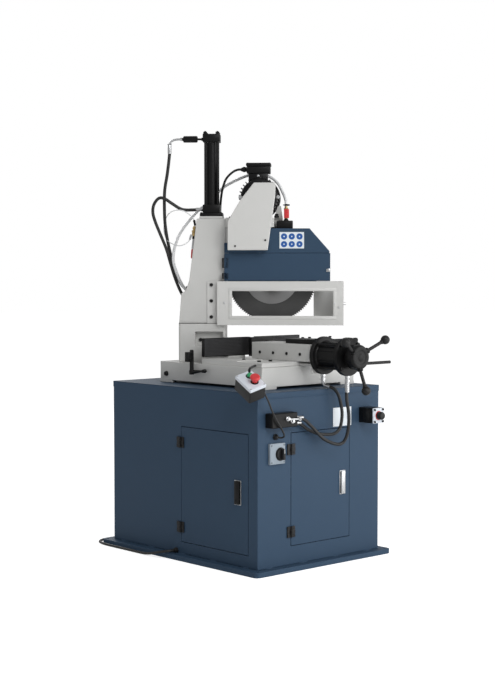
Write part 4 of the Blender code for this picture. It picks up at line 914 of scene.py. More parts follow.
def armLine(look, degrees):
    # the middle of the hub, the middle of the ball, and the way between them
    centre = Vector((viseLook["x"], viseLook["rear"] - look["middle"], viseLook["z"]))
    way = Vector((math.cos(math.radians(degrees)), 0, math.sin(math.radians(degrees))))
    tip = centre + way * look["reach"] + Vector((0, -look["lean"], 0))
    return centre, tip, (tip - centre).normalized()


def makeHandwheel(look):
    x, z, rear = viseLook["x"], viseLook["z"], viseLook["rear"]
    bm = bmesh.new()
    addTurned(bm, (x, rear - 0.0010, z), (0, -1, 0),
              [(0, 0), (0, 0.0155), (0.011, 0.0155), (0.0115, 0.038), (0.019, 0.0470), (0.050, 0.0478),
               (0.059, 0.0440), (0.061, 0.0400), (0.061, 0.0270), (0.0596, 0.0255), (0.0596, 0.0140),
               (0.0610, 0.0130), (0.0610, 0)], 64, 0.0008)
    for degrees in look["angles"]:
        centre, tip, along = armLine(look, degrees)
        addRod(bm, centre + along * 0.040, centre + along * 0.0555, 0.0115, 28, 0.0012)
    finishPiece(bm, "handwheelHub", "handwheel", "black", replaces=("handwheel_hub",))
    for number, degrees in enumerate(look["angles"], 1):
        centre, tip, along = armLine(look, degrees)
        bm = bmesh.new()
        addRod(bm, centre + along * 0.0558, tip, 0.0065, 28, 0.0008)
        finishPiece(bm, f"handwheelArm{number}", "handwheel", "oxide", replaces=(f"handwheel_arm_{number}",))
        bm = bmesh.new()
        addBall(bm, tip, look["ball"])
        addRod(bm, tip - along * 0.0205, tip - along * 0.0120, 0.0088, 28, 0.0010)
        finishPiece(bm, f"handwheelBall{number}", "handwheel", "blackPlastic", angle=60)


jawTopLook = {
    "slab": ((0.0070, -0.4010, 0.8506), (0.0990, -0.2390, 0.8692)),
    "sideBolts": (-0.118, -0.195, -0.272, -0.347),
    "topBolts": ((0.030, -0.385), (0.075, -0.385), (0.080, -0.262)),
}
stopLook = {
    "clamps": (0.395, 0.520), "half": 0.010, "y": (0.0060, 0.0178, 0.0296), "z": (0.8240, 0.8440),
    "cap": (0.6700, 0.0178, 0.8335), "rodStart": (0.3003, -0.270, 0.7535), "rodEnd": (0.588, -0.270, 0.7535),
}
railLook = {
    "front": 0.7833, "rear": 0.7865, "large": ((-0.150, -0.255), (-0.090, -0.255)),
    "small": ((-0.1350, -0.1500), (0.245, -0.150), (0.245, -0.255)),
}


def makeJawTop(look):
    low, high = look["slab"]
    bm = bmesh.new()
    addBox(bm, low, high, 0.0016)
    finishPiece(bm, "jawTopSlab", "movable_jaw", "black")
    bm = bmesh.new()
    for y in look["sideBolts"]:
        addCapScrew(bm, (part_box("movable_jaw")[0].x + 0.0005, y, 0.8120), (-1, 0, 0), 0.0062, 0.0030)
    for x, y in look["topBolts"]:
        addCapScrew(bm, (x, y, high[2] - 0.0004), (0, 0, 1), 0.0060, 0.0050)
    finishPiece(bm, "jawBolts", "movable_jaw", "oxide")


def makeStopClamps(look):
    front, y, rear = look["y"]
    low, high = look["z"]
    bm = bmesh.new()
    for x in look["clamps"]:
        addBox(bm, (x - look["half"], front, low), (x + look["half"], rear, high), 0.0015)
        addRod(bm, (x, y, 0.8430), (x, y, 0.8520), 0.0040, 16)
        addNut(bm, (x, y, 0.8500), (0, 0, 1), 0.0068, 0.0060)
    addTurned(bm, look["cap"], (1, 0, 0),
              [(0, 0), (0, 0.0105), (0.0150, 0.0105), (0.0165, 0.0095), (0.0165, 0)], 32)
    finishPiece(bm, "stopClamps", "base", "black")


def makeRailBolts(look):
    bm = bmesh.new()
    for x, y in look["large"]:
        addCapScrew(bm, (x, y, look["front"]), (0, 0, 1), 0.0075, 0.0060)
    for x, y in look["small"]:
        addCapScrew(bm, (x, y, look["rear"] if y > -0.2 else look["front"]), (0, 0, 1), 0.0065, 0.0050)
    finishPiece(bm, "railBolts", "base", "oxide")


leverLook = {"pivot": (-0.2265, 0.060), "tip": (-0.002, -0.090, 0.7408), "arm": 0.7320,
             "screws": (0.784, 0.803)}


def makeLockLever(look):
    x, y = look["pivot"]
    bm = bmesh.new()
    addTurned(bm, (x, y, 0.7220), (0, 0, 1),
              [(0, 0), (0, 0.0100), (0.014, 0.0112), (0.019, 0.0084), (0.0955, 0.0082), (0.0990, 0.0066),
               (0.0990, 0)], 32, 0.0010)
    addBox(bm, (x - 0.0285, y - 0.0098, 0.7742), (x - 0.002, y + 0.0098, 0.8128), 0.0022, 3)
    for z in look["screws"]:
        addCapScrew(bm, (x - 0.0160, y - 0.0095, z), (0, -1, 0), 0.0042, 0.0022)
    dx, dy, tipZ = look["tip"]
    tip = Vector((x + dx, y + dy, tipZ))
    start = Vector((x, y, look["arm"]))
    addTurned(bm, start, tip - start,
              [(0, 0), (0, 0.0082), (0.020, 0.0076), (0.050, 0.0048), (0.062, 0.0046), (0.072, 0.0072),
               (0.082, 0.0080), (0.0890, 0.0064), (0.0905, 0)], 28, 0.0010)
    finishPiece(bm, "swivelLockLever", "swivel_lock", "black", replaces=("swivel_lock_lever",))


def makeLengthStopRod(look):
    bm = bmesh.new()
    addRod(bm, look["rodStart"], look["rodEnd"], 0.0065, 32, 0.0020)
    finishPiece(bm, "lengthStopRod", "base", "oxide", replaces=("length_stop_rod",))


makeBed(bedLook)
makeJaws(knurlLook)
makeViseCylinder(viseLook)
makeViseFittings(viseLook)
makeHandwheel(wheelLook)
makeJawTop(jawTopLook)
makeStopClamps(stopLook)
makeRailBolts(railLook)
makeLockLever(leverLook)
makeLengthStopRod(stopLook)
print("vise made")

# column

columnLook = {
    "window": (-0.0805, 0.327, 0.955, 1.055), "rim": 0.013, "rimGap": 0.0015, "sheet": -0.0852,
    "left": -0.166, "face": -0.0598, "bolts": (1.080, 1.015, 0.950), "recessBolt": (-0.212, -0.0352, 0.856),
    "seam": ((-0.2990, -0.0654, 0.9226), (-0.1085, 0.0654, 0.9236)),
    "sheetScrews": ((-0.112, 1.008), (0.352, 0.990)), "stud": (0.3699, -0.020, 1.003), "cylinder": -0.168,
}


def makeColumn():
    softCopy("column", "columnCasting", "casting", 0.0022)
    softCopy("blade_frame", "bladeFrame", "sheetGrey", 0.0007)


def makeWindowRim(look):
    x0, x1, z0, z1 = look["window"]
    wide, gap = look["rim"], look["rimGap"]
    bm = bmesh.new()
    for low, high in (((x0 - wide, z0 - wide), (x1 + wide, z0 - gap)),
                      ((x0 - wide, z1 + gap), (x1 + wide, z1 + wide)),
                      ((x0 - wide, z0 - 0.0016), (x0 - gap, z1 + 0.0016)),
                      ((x1 + gap, z0 - 0.0016), (x1 + wide, z1 + 0.0016))):
        addBox(bm, (low[0], look["sheet"] - 0.0013, low[1]),
               (high[0], look["sheet"] - 0.0001, high[1]), 0.0004)
    finishPiece(bm, "windowRim", "column", "sheetGrey", turned)
    bm = bmesh.new()
    for x in (x0 - wide / 2, x1 + wide / 2):
        addCapScrew(bm, (x, look["sheet"] - 0.0011, (z0 + z1) / 2), (0, -1, 0), 0.0034, 0.0018)
    finishPiece(bm, "windowScrews", "column", "zinc", turned)


def makeColumnScrews(look):
    bm = bmesh.new()
    for z in look["bolts"]:
        addCapScrew(bm, (look["left"], look["face"], z), (0, -1, 0), 0.0070, 0.0045)
    addCapScrew(bm, look["recessBolt"], (0, -1, 0), 0.0075, 0.0060)
    finishPiece(bm, "columnBolts", "column", "oxide", turned)
    # a thin near-black strip along the column's seam, painted as the shade in the gap
    bm = bmesh.new()
    addBox(bm, *look["seam"])
    finishPiece(bm, "columnSeamShade", "column", "dark", turned)
    bm = bmesh.new()
    for x, z in look["sheetScrews"]:
        addCapScrew(bm, (x, look["sheet"] + 0.0003, z), (0, -1, 0), 0.0042, 0.0026)
    addTurned(bm, look["stud"], (1, 0, 0),
              [(0, 0), (0, 0.0058), (0.0030, 0.0052), (0.0100, 0.0038), (0.0100, 0)], 24, 0.0004)
    finishPiece(bm, "frameScrews", "column", "zinc", turned)


cylinderLook = {
    "half": 0.035, "barrel": 0.0245, "plate": 1.3582, "flange": 1.3705, "low": 1.406, "high": 1.6599,
    "top": 1.6925, "rod": 0.0250, "bolt": 0.0398, "valveZ": 1.673, "lowPortZ": 1.388,
    "elbow": ((-0.2965, 0, 1.673), (-0.318, 0, 1.6715), (-0.333, 0, 1.6650), (-0.3400, 0, 1.6530)),
}


def makeFeedCylinder(look):
    x = columnLook["cylinder"]
    half = look["half"]
    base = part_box("feed_cylinder")[0].z
    bm = bmesh.new()
    addBox(bm, (x - 0.046, -0.046, look["plate"] + 0.0003), (x + 0.046, 0.046, look["flange"]), 0.0022)
    addBox(bm, (x - half, -half, look["flange"] - 0.0005), (x + half, half, look["low"]), 0.0022)
    addTurned(bm, (x, 0, look["low"] - 0.001), (0, 0, 1),
              [(0, 0.020), (0, look["barrel"]), (0.252, look["barrel"]), (0.252, 0.020), (0, 0.020)], 56)
    finishPiece(bm, "feedCylinder", "column", "black", turned, ("feed_cylinder",))
    bm = bmesh.new()
    for i in (-1, 1):
        for k in (-1, 1):
            spot = (x + i * look["bolt"], k * look["bolt"], look["flange"] - 0.0002)
            addCapScrew(bm, spot, (0, 0, 1), 0.0046, 0.0046)
    finishPiece(bm, "cylinderBolts", "column", "oxide", turned)
    bm = bmesh.new()
    addBox(bm, (x - 0.0475, -0.0475, base), (x + 0.0475, 0.0475, look["plate"]), 0.0010)
    finishPiece(bm, "cylinderPlate", "column", "sheetGrey", turned)


def makeCylinderCap(look):
    # the cap, with the four tie rods that hold it
    x, half = columnLook["cylinder"], look["half"]
    bm = bmesh.new()
    addBox(bm, (x - half, -half, look["high"]), (x + half, half, look["top"]), 0.0024)
    for i in (-1, 1):
        for k in (-1, 1):
            rx, ry = x + i * look["rod"], k * look["rod"]
            addRod(bm, (rx, ry, look["low"] + 0.0004), (rx, ry, 1.7040), 0.0042, 20)
            addNut(bm, (rx, ry, look["top"] - 0.0006), (0, 0, 1), 0.0078, 0.0095)
            addWasher(bm, (rx, ry, look["top"] - 0.0008), (0, 0, 1), 0.0092)
    finishPiece(bm, "cylinderCap", "column", "black", turned, ("feed_cylinder_cap",))


def makeFeedFittings(look):
    x, valveZ, portZ = columnLook["cylinder"] - look["half"], look["valveZ"], look["lowPortZ"]
    bm = bmesh.new()
    addTurned(bm, (x + 0.0010, 0, valveZ), (-1, 0, 0),
              [(0, 0), (0, 0.0068), (0.008, 0.0068), (0.008, 0.0042), (0.0230, 0.0042), (0.0240, 0.0110),
               (0.0275, 0.0135), (0.0790, 0.0135), (0.0820, 0.0115), (0.0835, 0.0060), (0.0865, 0.0060),
               (0.0865, 0)], 40)
    finishPiece(bm, "checkValve", "column", "black", turned)
    bm = bmesh.new()
    addNut(bm, (-0.2888, 0, valveZ), (-1, 0, 0), 0.0074, 0.0080)
    addTurned(bm, (-0.341, 0, 1.650), (0, 0, -1),
              [(0, 0), (0, 0.0070), (0.004, 0.0078), (0.034, 0.0078), (0.036, 0.0072), (0.036, 0)], 32)
    addNut(bm, (-0.341, 0, 1.656), (0, 0, -1), 0.0084, 0.0070)
    addNut(bm, (-0.2038, 0, portZ), (-1, 0, 0), 0.0092, 0.0090)
    addTurned(bm, (-0.2124, 0, portZ), (-1, 0, 0),
              [(0, 0), (0, 0.0066), (0.010, 0.0070), (0.020, 0.0070), (0.020, 0)], 28)
    finishPiece(bm, "feedFittings", "column", "zinc", turned)
    makeTube("feedElbow", smoothRoute(look["elbow"], 0.003), 0.0046, "column", "zinc", turned, fine=5)
    refinish("feed_piston_rod", "steel")


# the CAD hoses' own points again, and those of the small air tube, which the CAD leaves out
routes = {
    "feedTop": [
        (-0.341, 0, 1.645), (-0.341, 0, 1.614), (-0.350, 0.003, 1.539), (-0.362, 0.008, 1.467),
        (-0.364, 0.012, 1.394), (-0.361, 0.018, 1.320), (-0.348, 0.032, 1.235), (-0.328, 0.054, 1.150),
        (-0.303, 0.076, 1.085), (-0.270, 0.090, 1.050), (-0.235, 0.088, 1.032), (-0.215, 0.076, 1.028),
        (-0.213, 0.066, 1.027), (-0.213, 0.0560, 1.027)],
    "feedBottom": [
        (-0.2200, 0, 1.388), (-0.245, 0, 1.386), (-0.290, -0.004, 1.388), (-0.331, -0.012, 1.412),
        (-0.360, -0.016, 1.431), (-0.384, -0.015, 1.433), (-0.404, -0.014, 1.408), (-0.409, -0.012, 1.375),
        (-0.400, -0.010, 1.339), (-0.380, -0.005, 1.288), (-0.356, 0.008, 1.226), (-0.340, 0.026, 1.165),
        (-0.322, 0.052, 1.100), (-0.298, 0.078, 1.040), (-0.265, 0.090, 0.998), (-0.235, 0.088, 0.978),
        (-0.215, 0.076, 0.972), (-0.213, 0.066, 0.971), (-0.213, 0.0560, 0.971)],
    "coolantHose": [
        (-0.248, 0.0558, 1.048), (-0.248, 0.066, 1.048), (-0.264, 0.070, 1.0505), (-0.2815, 0.065, 1.0590),
        (-0.2983, 0.045, 1.0867), (-0.3125, 0.020, 1.1231), (-0.3222, 0.006, 1.1562),
        (-0.3270, 0.000, 1.1832), (-0.3244, 0.005, 1.2193), (-0.3167, 0.020, 1.2527),
        (-0.3049, 0.040, 1.2863), (-0.2854, 0.060, 1.3201), (-0.2620, 0.0705, 1.3505),
        (-0.2374, 0.072, 1.3780), (-0.179, 0.072, 1.429), (-0.129, 0.070, 1.478), (-0.088, 0.062, 1.502),
        (-0.050, 0.055, 1.519), (-0.022, 0.050, 1.528), (0.020, 0.048, 1.531), (0.060, 0.046, 1.526),
        (0.097, 0.032, 1.500), (0.122, 0.004, 1.457), (0.1345, -0.022, 1.425), (0.1364, -0.0295, 1.411),
        (0.1365, -0.030, 1.3992)],
    "motorCable": [
        (-0.0490, -0.010, 1.549), (-0.062, -0.009, 1.548), (-0.084, -0.002, 1.538), (-0.111, 0.012, 1.511),
        (-0.127, 0.030, 1.468), (-0.134, 0.044, 1.427), (-0.137, 0.056, 1.392), (-0.138, 0.066, 1.356),
        (-0.138, 0.0715, 1.328), (-0.138, 0.0715, 1.308), (-0.138, 0.067, 1.297), (-0.138, 0.0570, 1.2950)],
    "viseOpen": [
        (0.035, -0.550, 0.7215), (0.035, -0.550, 0.690), (0.034, -0.549, 0.650), (0.050, -0.545, 0.585),
        (0.061, -0.530, 0.520), (0.052, -0.515, 0.478), (0.020, -0.505, 0.472), (-0.035, -0.492, 0.497),
        (-0.085, -0.480, 0.545), (-0.118, -0.473, 0.573), (-0.150, -0.470, 0.582), (-0.1595, -0.470, 0.582)],
    "viseClose": [
        (0.035, -0.420, 0.7210), (0.035, -0.420, 0.708), (0.036, -0.428, 0.6935), (0.041, -0.443, 0.6890),
        (0.050, -0.459, 0.6835), (0.060, -0.471, 0.668), (0.069, -0.479, 0.640), (0.076, -0.484, 0.585),
        (0.066, -0.483, 0.530), (0.034, -0.478, 0.508), (-0.030, -0.468, 0.512), (-0.085, -0.461, 0.532),
        (-0.118, -0.458, 0.553), (-0.150, -0.458, 0.562), (-0.1595, -0.458, 0.562)],
    "control": [
        (-0.322, -0.4895, 0.660), (-0.302, -0.4905, 0.620), (-0.280, -0.4905, 0.585),
        (-0.254, -0.4890, 0.552), (-0.234, -0.483, 0.528), (-0.226, -0.474, 0.516), (-0.231, -0.464, 0.512),
        (-0.238, -0.455, 0.5138), (-0.2405, -0.4430, 0.5145)],
    "airTube": [
        (-0.2360, -0.030, 1.3400), (-0.2471, -0.030, 1.3559), (-0.2620, -0.030, 1.3693),
        (-0.2830, -0.030, 1.3813), (-0.3070, -0.028, 1.3843), (-0.3335, -0.010, 1.3780),
        (-0.3553, 0.030, 1.3614), (-0.3680, 0.042, 1.3286), (-0.3681, 0.042, 1.2954),
        (-0.3556, 0.028, 1.2650), (-0.3309, -0.010, 1.2477), (-0.2983, -0.028, 1.2391),
        (-0.2713, -0.030, 1.2486), (-0.2563, -0.030, 1.2635), (-0.2500, -0.030, 1.2800)],
}


hoseLook = {
    "step": 0.006, "hydraulic": 0.0065, "coolant": 0.0058, "cable": 0.0048, "air": 0.0019, "airStep": 0.004,
    "elbow": 0.0072, "elbowRings": 10, "rear": 0.0552, "edgeFitting": (-0.2640, -0.030, 1.0700),
}


def makeHoses(look):
    step, radius = look["step"], look["hydraulic"]
    for route, name, node in (("feedTop", "feedHoseTop", "feed_hose_top"),
                              ("feedBottom", "feedHoseBottom", "feed_hose_bottom")):
        makeTube(name, smoothRoute(routes[route], step), radius, "column", "rubber", turned, (node,))
    for route, name, node in (("viseOpen", "viseHoseOpen", "vise_hose_open"),
                              ("viseClose", "viseHoseClose", "vise_hose_close")):
        hose = makeTube(name, smoothRoute(routes[route], step), radius, "base", "rubber", replaces=(node,))
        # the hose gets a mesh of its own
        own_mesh(hose)
    elbow = smoothRoute(routes["viseClose"], step)[:look["elbowRings"]]
    makeTube("viseElbow", elbow, look["elbow"], "base", "zinc")
    for name, node, radius, finish, low, high in (
            ("coolantHose", "coolant_hose", look["coolant"], "clear", 1.058, 1.500),
            ("motorCable", "motor_cable", look["cable"], "rubber", 1.310, 1.530)):
        hose = makeTube(name, smoothRoute(routes[name], step), radius, None, finish, turned, (node,))
        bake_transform(hose)
    makeTube("airTube", smoothRoute(routes["airTube"], look["airStep"]), look["air"], "column",
             "clear", turned)


bleedLook = {"top": (-0.2358, -0.030, 1.3190), "way": (-0.095, 0, -1)}


def makeBleedValve(look):
    # its parts follow one another down a line that leans a little from upright
    way = Vector(look["way"]).normalized()
    top = Vector(look["top"])
    bm = bmesh.new()
    addTurned(bm, top, way,
              [(0, 0), (0, 0.0058), (0.004, 0.0058), (0.004, 0.0076), (0.014, 0.0076), (0.014, 0.0060),
               (0.026, 0.0060), (0.026, 0.0084), (0.036, 0.0084), (0.037, 0.0066), (0.041, 0.0060),
               (0.041, 0)], 28, 0.0005)
    addRod(bm, top + way * 0.020, top + way * 0.020 + Vector((-0.0100, 0, -0.0020)), 0.0042, 20)
    finishPiece(bm, "bleedValveBody", "column", "brass", turned)
    bm = bmesh.new()
    addTurned(bm, (-0.2378, -0.030, 1.3400), (0.2, 0, -1),
              [(0, 0), (0, 0.0046), (0.020, 0.0046), (0.020, 0)], 24, 0.0008)
    addBall(bm, (-0.2374, -0.030, 1.3390), 0.0056)
    addTurned(bm, top + way * 0.041, way,
              [(0, 0), (0, 0.0062), (0.010, 0.0062), (0.012, 0.0050), (0.014, 0)], 24, 0.0005)
    finishPiece(bm, "bleedValveElbow", "column", "black", turned)
    bm = bmesh.new()
    addTurned(bm, top + way * 0.053, way,
              [(0, 0), (0, 0.0046), (0.038, 0.0050), (0.042, 0.0038), (0.042, 0)], 24, 0.0005)
    addRod(bm, (-0.2500, -0.030, 1.2850), (-0.2560, -0.030, 1.2640), 0.0042, 20)
    finishPiece(bm, "bleedValveSleeve", "column", "zinc", turned)
    bm = bmesh.new()
    addTurned(bm, top + way * 0.094, way,
              [(0, 0), (0, 0.0040), (0.004, 0.0056), (0.034, 0.0044), (0.038, 0.0030), (0.038, 0)],
              24, 0.0005)
    finishPiece(bm, "bleedValveKnob", "column", "red", turned)


def makeHoseEnds(look):
    x, y, z = look["edgeFitting"]
    bm = bmesh.new()
    addRod(bm, (-0.2630, y, z), (-0.2710, y, z), 0.0046, 20)
    addNut(bm, (x, y, z), (-1, 0, 0), 0.0066, 0.0040)
    finishPiece(bm, "edgeFitting", "column", "black", turned)
    bm = bmesh.new()
    x, y, z = routes["coolantHose"][0]
    addNut(bm, (x, y - 0.0006, z), (0, 1, 0), 0.0082, 0.0080)
    finishPiece(bm, "coolantHoseBarb", "column", "brass", turned)
    bm = bmesh.new()
    for route in ("feedTop", "feedBottom"):
        x, _, z = routes[route][-1]
        addNut(bm, (x, look["rear"], z), (0, 1, 0), 0.0100, 0.0090)
    finishPiece(bm, "rearHoseNuts", "column", "zinc", turned)
    bm = bmesh.new()
    x, _, z = routes["motorCable"][-1]
    addNut(bm, (x, look["rear"], z), (0, 1, 0), 0.0085, 0.0065)
    finishPiece(bm, "rearCableGland", "column", "blackPlastic", turned)


makeColumn()
makeWindowRim(columnLook)
makeColumnScrews(columnLook)
makeFeedCylinder(cylinderLook)
makeCylinderCap(cylinderLook)
makeFeedFittings(cylinderLook)
makeHoses(hoseLook)
makeBleedValve(bleedLook)
makeHoseEnds(hoseLook)
print("column and hoses made")

# head

headLook = {"guardFront": -0.0745, "coverFront": -0.130,
            "coverScrews": ((-0.0655, 1.2355), (0.0555, 1.2590)), "label": (0.111, 0.210, 1.227, 1.293),
            "disc": 0.0125, "dot": 0.0028, "carriageScrew": (-0.0975, -0.0560, 1.3440),
            "hinges": ((1.148, 1.189), (1.104, 1.128)), "catch": (0.3080, 1.1390)}


def makeHead(look):
    softCopy("head_casting", "headCasting", "casting", 0.0016)
    softCopy("gear_cover", "gearCover", "sheetGrey", 0.0026, segments=3)
    softCopy("blade_guard", "bladeGuard", "blue", 0.0012)
    softCopy("guard_door", "guardDoor", "blue", 0.0007, shortest=0.02)
    bm = bmesh.new()
    for x, z in look["coverScrews"]:
        addCapScrew(bm, (x, look["coverFront"] + 0.0002, z), (0, -1, 0), 0.0040, 0.0022)
    finishPiece(bm, "coverScrews", "head", "oxide", turned)
    bm = bmesh.new()
    x, y, z = look["carriageScrew"]
    addCapScrew(bm, (x, y, z), (0, -1, 0), 0.0055, 0.0050)
    addRod(bm, (x, y, z - 0.0020), (x + 0.0075, y, z + 0.0120), 0.0032, 16)
    finishPiece(bm, "carriageScrew", "head", "oxide", turned)


def makeGuardDetails(look):
    front = look["guardFront"]
    x0, x1, z0, z1 = look["label"]
    bm = bmesh.new()
    addBox(bm, (x0, front - 0.0006, z0), (x1, front - 0.0001, z1))
    finishPiece(bm, "guardLabel", "head", "label", turned)
    for name, radius, deep, finish in (("labelDiscs", look["disc"], 0.0008, "labelBlue"),
                                       ("labelDots", look["dot"], 0.0010, "label")):
        bm = bmesh.new()
        for i in range(3):
            for k in range(2):
                spot = (x0 + (x1 - x0) * (0.185 + 0.315 * i), front - 0.0004,
                        z0 + (z1 - z0) * (0.26 + 0.47 * k))
                addTurned(bm, spot, (0, -1, 0),
                          [(0, 0), (0, radius), (deep - 0.0004, radius), (deep - 0.0004, 0)], 40)
        finishPiece(bm, name, "head", finish, turned)

    bm = bmesh.new()
    for z0, z1 in look["hinges"]:
        addBox(bm, (-0.1125, front - 0.0040, z0), (-0.0965, front - 0.0006, z1), 0.0008)
        addRod(bm, (-0.1165, front - 0.0010, z0), (-0.1165, front - 0.0010, z1), 0.0050, 28, 0.0005)
    finishPiece(bm, "guardHinges", "guard_door", "blackPlastic", turned)
    bm = bmesh.new()
    x, z = look["catch"]
    addBox(bm, (0.3000, front - 0.0034, 1.1330), (0.3150, front - 0.0004, 1.1450), 0.0008)
    addTurned(bm, (x, front - 0.0030, z), (0, -1, 0),
              [(0, 0), (0, 0.0042), (0.0050, 0.0046), (0.0062, 0.0036), (0.0062, 0)], 24)
    finishPiece(bm, "guardCatch", "guard_door", "zinc", turned)


motorLook = {"x": 0.0288, "z": 1.4338, "front": -0.0745, "back": 0.075, "core": 0.0745, "radius": 0.0834,
             "fins": 34, "neck": ((-0.0157, -0.042, 1.490), (0.0619, 0.022, 1.5330)),
             "box": ((-0.0235, -0.0475, 1.5312), (0.0725, 0.0275)), "boxTop": 1.5738,
             "boxLid": ((-0.0260, -0.0500), (0.0750, 0.0300)), "boxScrew": (0.0236, -0.0418, 1.5210),
             "gland": (-0.010, 1.549), "ears": 0.0765}


def makeMotor(look):
    x, z = look["x"], look["z"]
    bm = bmesh.new()
    addTurned(bm, (x, look["front"], z), (0, 1, 0),
              [(0, 0), (0, 0.0700), (0.004, 0.0735), (0.010, 0.0745), (0.012, look["core"]),
               (0.118, look["core"]), (0.120, 0.0826), (0.140, 0.0834), (0.1495, 0.0790), (0.1495, 0)],
              72, 0.0008)
    for k in range(look["fins"]):
        fin = Matrix.Translation((x, 0, z)) @ Matrix.Rotation(2 * math.pi * k / look["fins"], 4, "Y")
        addBox(bm, (-0.0019, look["front"] + 0.004, look["core"] - 0.004),
               (0.0019, look["back"] - 0.029, look["radius"] - 0.0006), 0.0009, 1, fin)
    for degrees in (0, 90, 180, 270):
        lug = Matrix.Translation((x, 0, z)) @ Matrix.Rotation(math.radians(degrees), 4, "Y")
        addBox(bm, (-0.009, look["front"] + 0.001, look["core"] - 0.004),
               (0.009, look["front"] + 0.016, look["radius"] - 0.0008), 0.0022, 2, lug)
    addTurned(bm, (x, look["back"] - 0.004, z), (0, 1, 0),
              [(0, 0), (0, 0.0738), (0.036, 0.0738), (0.044, 0.0690), (0.0485, 0.0600), (0.0485, 0.0560),
               (0.0465, 0.0545), (0.0465, 0.0440), (0.0485, 0.0425), (0.0485, 0.0380), (0.0465, 0.0365),
               (0.0465, 0.0260), (0.0485, 0.0245), (0.0485, 0)], 64)
    addBox(bm, *look["neck"], 0.0020)
    top, box, lid = look["boxTop"], look["box"], look["boxLid"]
    addBox(bm, box[0], (*box[1], top - 0.0135), 0.0035, 3)
    addBox(bm, (*lid[0], top - 0.0140), (*lid[1], top), 0.0045, 4)
    finishPiece(bm, "driveMotor", "head", "black", turned, ("motor",))


def makeMotorFittings(look):
    y, z = look["gland"]
    bm = bmesh.new()
    addNut(bm, (-0.0230, y, z), (-1, 0, 0), 0.0105, 0.0050)
    addNut(bm, (-0.0290, y, z), (-1, 0, 0), 0.0122, 0.0110)
    addTurned(bm, (-0.0276, y, z), (-1, 0, 0),
              [(0, 0), (0, 0.0088), (0.0150, 0.0088), (0.0175, 0.0078), (0.0210, 0.0056), (0.0210, 0)],
              28, 0.0005)
    finishPiece(bm, "terminalGland", "head", "blackPlastic", turned)
    bm = bmesh.new()
    addCapScrew(bm, look["boxScrew"], (0, -1, 0), 0.0048, 0.0026)
    for i in (-1, 1):
        for k in (-1, 1):
            spot = (0.0245 + i * 0.0435, -0.010 + k * 0.033, look["boxTop"] - 0.0006)
            addCapScrew(bm, spot, (0, 0, 1), 0.0032, 0.0016)
    for side in (-1, 1):
        x, z = look["x"] + side * look["ears"], look["z"]
        addNut(bm, (x, look["front"] + 0.0014, z), (0, -1, 0), 0.0062, 0.0048)
        addWasher(bm, (x, look["front"] + 0.0016, z), (0, -1, 0), 0.0074)
    finishPiece(bm, "motorScrews", "head", "zinc", turned)


bladeTeeth = {"count": 120, "radius": 0.185, "gullet": 0.0062, "depths": (0.0, 0.30, 1.0, 0.75),
              "inner": 0.105, "bore": 0.0163, "thick": 0.0026}


def makeBlade(look):
    x, y, z = bladeLook["centre"]
    bm = bmesh.new()
    ring = bmesh.ops.create_circle(bm, cap_ends=False, segments=4 * look["count"],
                                   radius=look["radius"])["verts"]
    for k, vert in enumerate(ring):
        # each tooth: tip, back, gullet floor, gullet
        depth = look["depths"][k % 4] * look["gullet"]
        vert.co *= 1 - depth / look["radius"]
    inner = bmesh.ops.create_circle(bm, cap_ends=False, segments=96, radius=look["inner"])["verts"]
    bmesh.ops.bridge_loops(bm, edges=bm.edges[:])
    hole = bmesh.ops.create_circle(bm, cap_ends=False, segments=48, radius=look["bore"])["verts"]
    innerEdges = [edge for edge in bm.edges if edge.is_boundary and all(v in inner for v in edge.verts)]
    holeEdges = list({edge for vert in hole for edge in vert.link_edges})
    bmesh.ops.bridge_loops(bm, edges=innerEdges + holeEdges)
    bmesh.ops.recalc_face_normals(bm, faces=bm.faces)
    made = bmesh.ops.extrude_face_region(bm, geom=bm.faces[:])
    lifted = [item for item in made["geom"] if isinstance(item, bmesh.types.BMVert)]
    bmesh.ops.translate(bm, vec=(0, 0, look["thick"]), verts=lifted)
    bmesh.ops.translate(bm, vec=(0, 0, -look["thick"] / 2), verts=bm.verts)
    place = turned @ Matrix.Translation((x, y, z)) @ Matrix.Rotation(math.pi / 2, 4, "X")
    finishPiece(bm, "sawBlade", "blade", "blade", place, ("saw_blade",), angle=25)


def makeBladeHub():
    x, _, z = bladeLook["centre"]
    bm = bmesh.new()
    addTurned(bm, (x, -0.0018, z), (0, -1, 0),
              [(0, 0), (0, 0.111), (0.0018, 0.1105), (0.0024, 0.1090), (0.0024, 0)], 96)
    addTurned(bm, (x, -0.0042, z), (0, -1, 0),
              [(0, 0), (0, 0.050), (0.004, 0.0495), (0.005, 0.048), (0.005, 0)], 64)
    addNut(bm, (x, -0.0080, z), (0, -1, 0), 0.0265, 0.0100)
    finishPiece(bm, "bladeDisc", "blade", "bladeDisc", turned)
    bm = bmesh.new()
    addRod(bm, (x, -0.0195, z), (x, 0.0998, z), 0.0156, 40)
    finishPiece(bm, "bladeArbor", "blade", "steel", turned, ("blade_arbor",))


tapLook = {
    "low": (0.099, -0.055, 1.3084), "high": (0.164, -0.006, 1.340), "stem": (0.1365, -0.030), "leverZ": 1.366,
    "collarZ": 1.3395, "bodyZ": 1.3490, "nutZ": 1.3830, "tailZ": 1.3905, "clampZ": 1.4000,
    "bracket": ((0.0880, -0.010, 1.3512), (0.1225, -0.010, 1.3512), (0.1150, -0.010, 1.4010),
                (0.1020, -0.010, 1.4010)),
    "bracketThick": 0.006, "foot": (0.0985, -0.043), "ribs": 3,
}


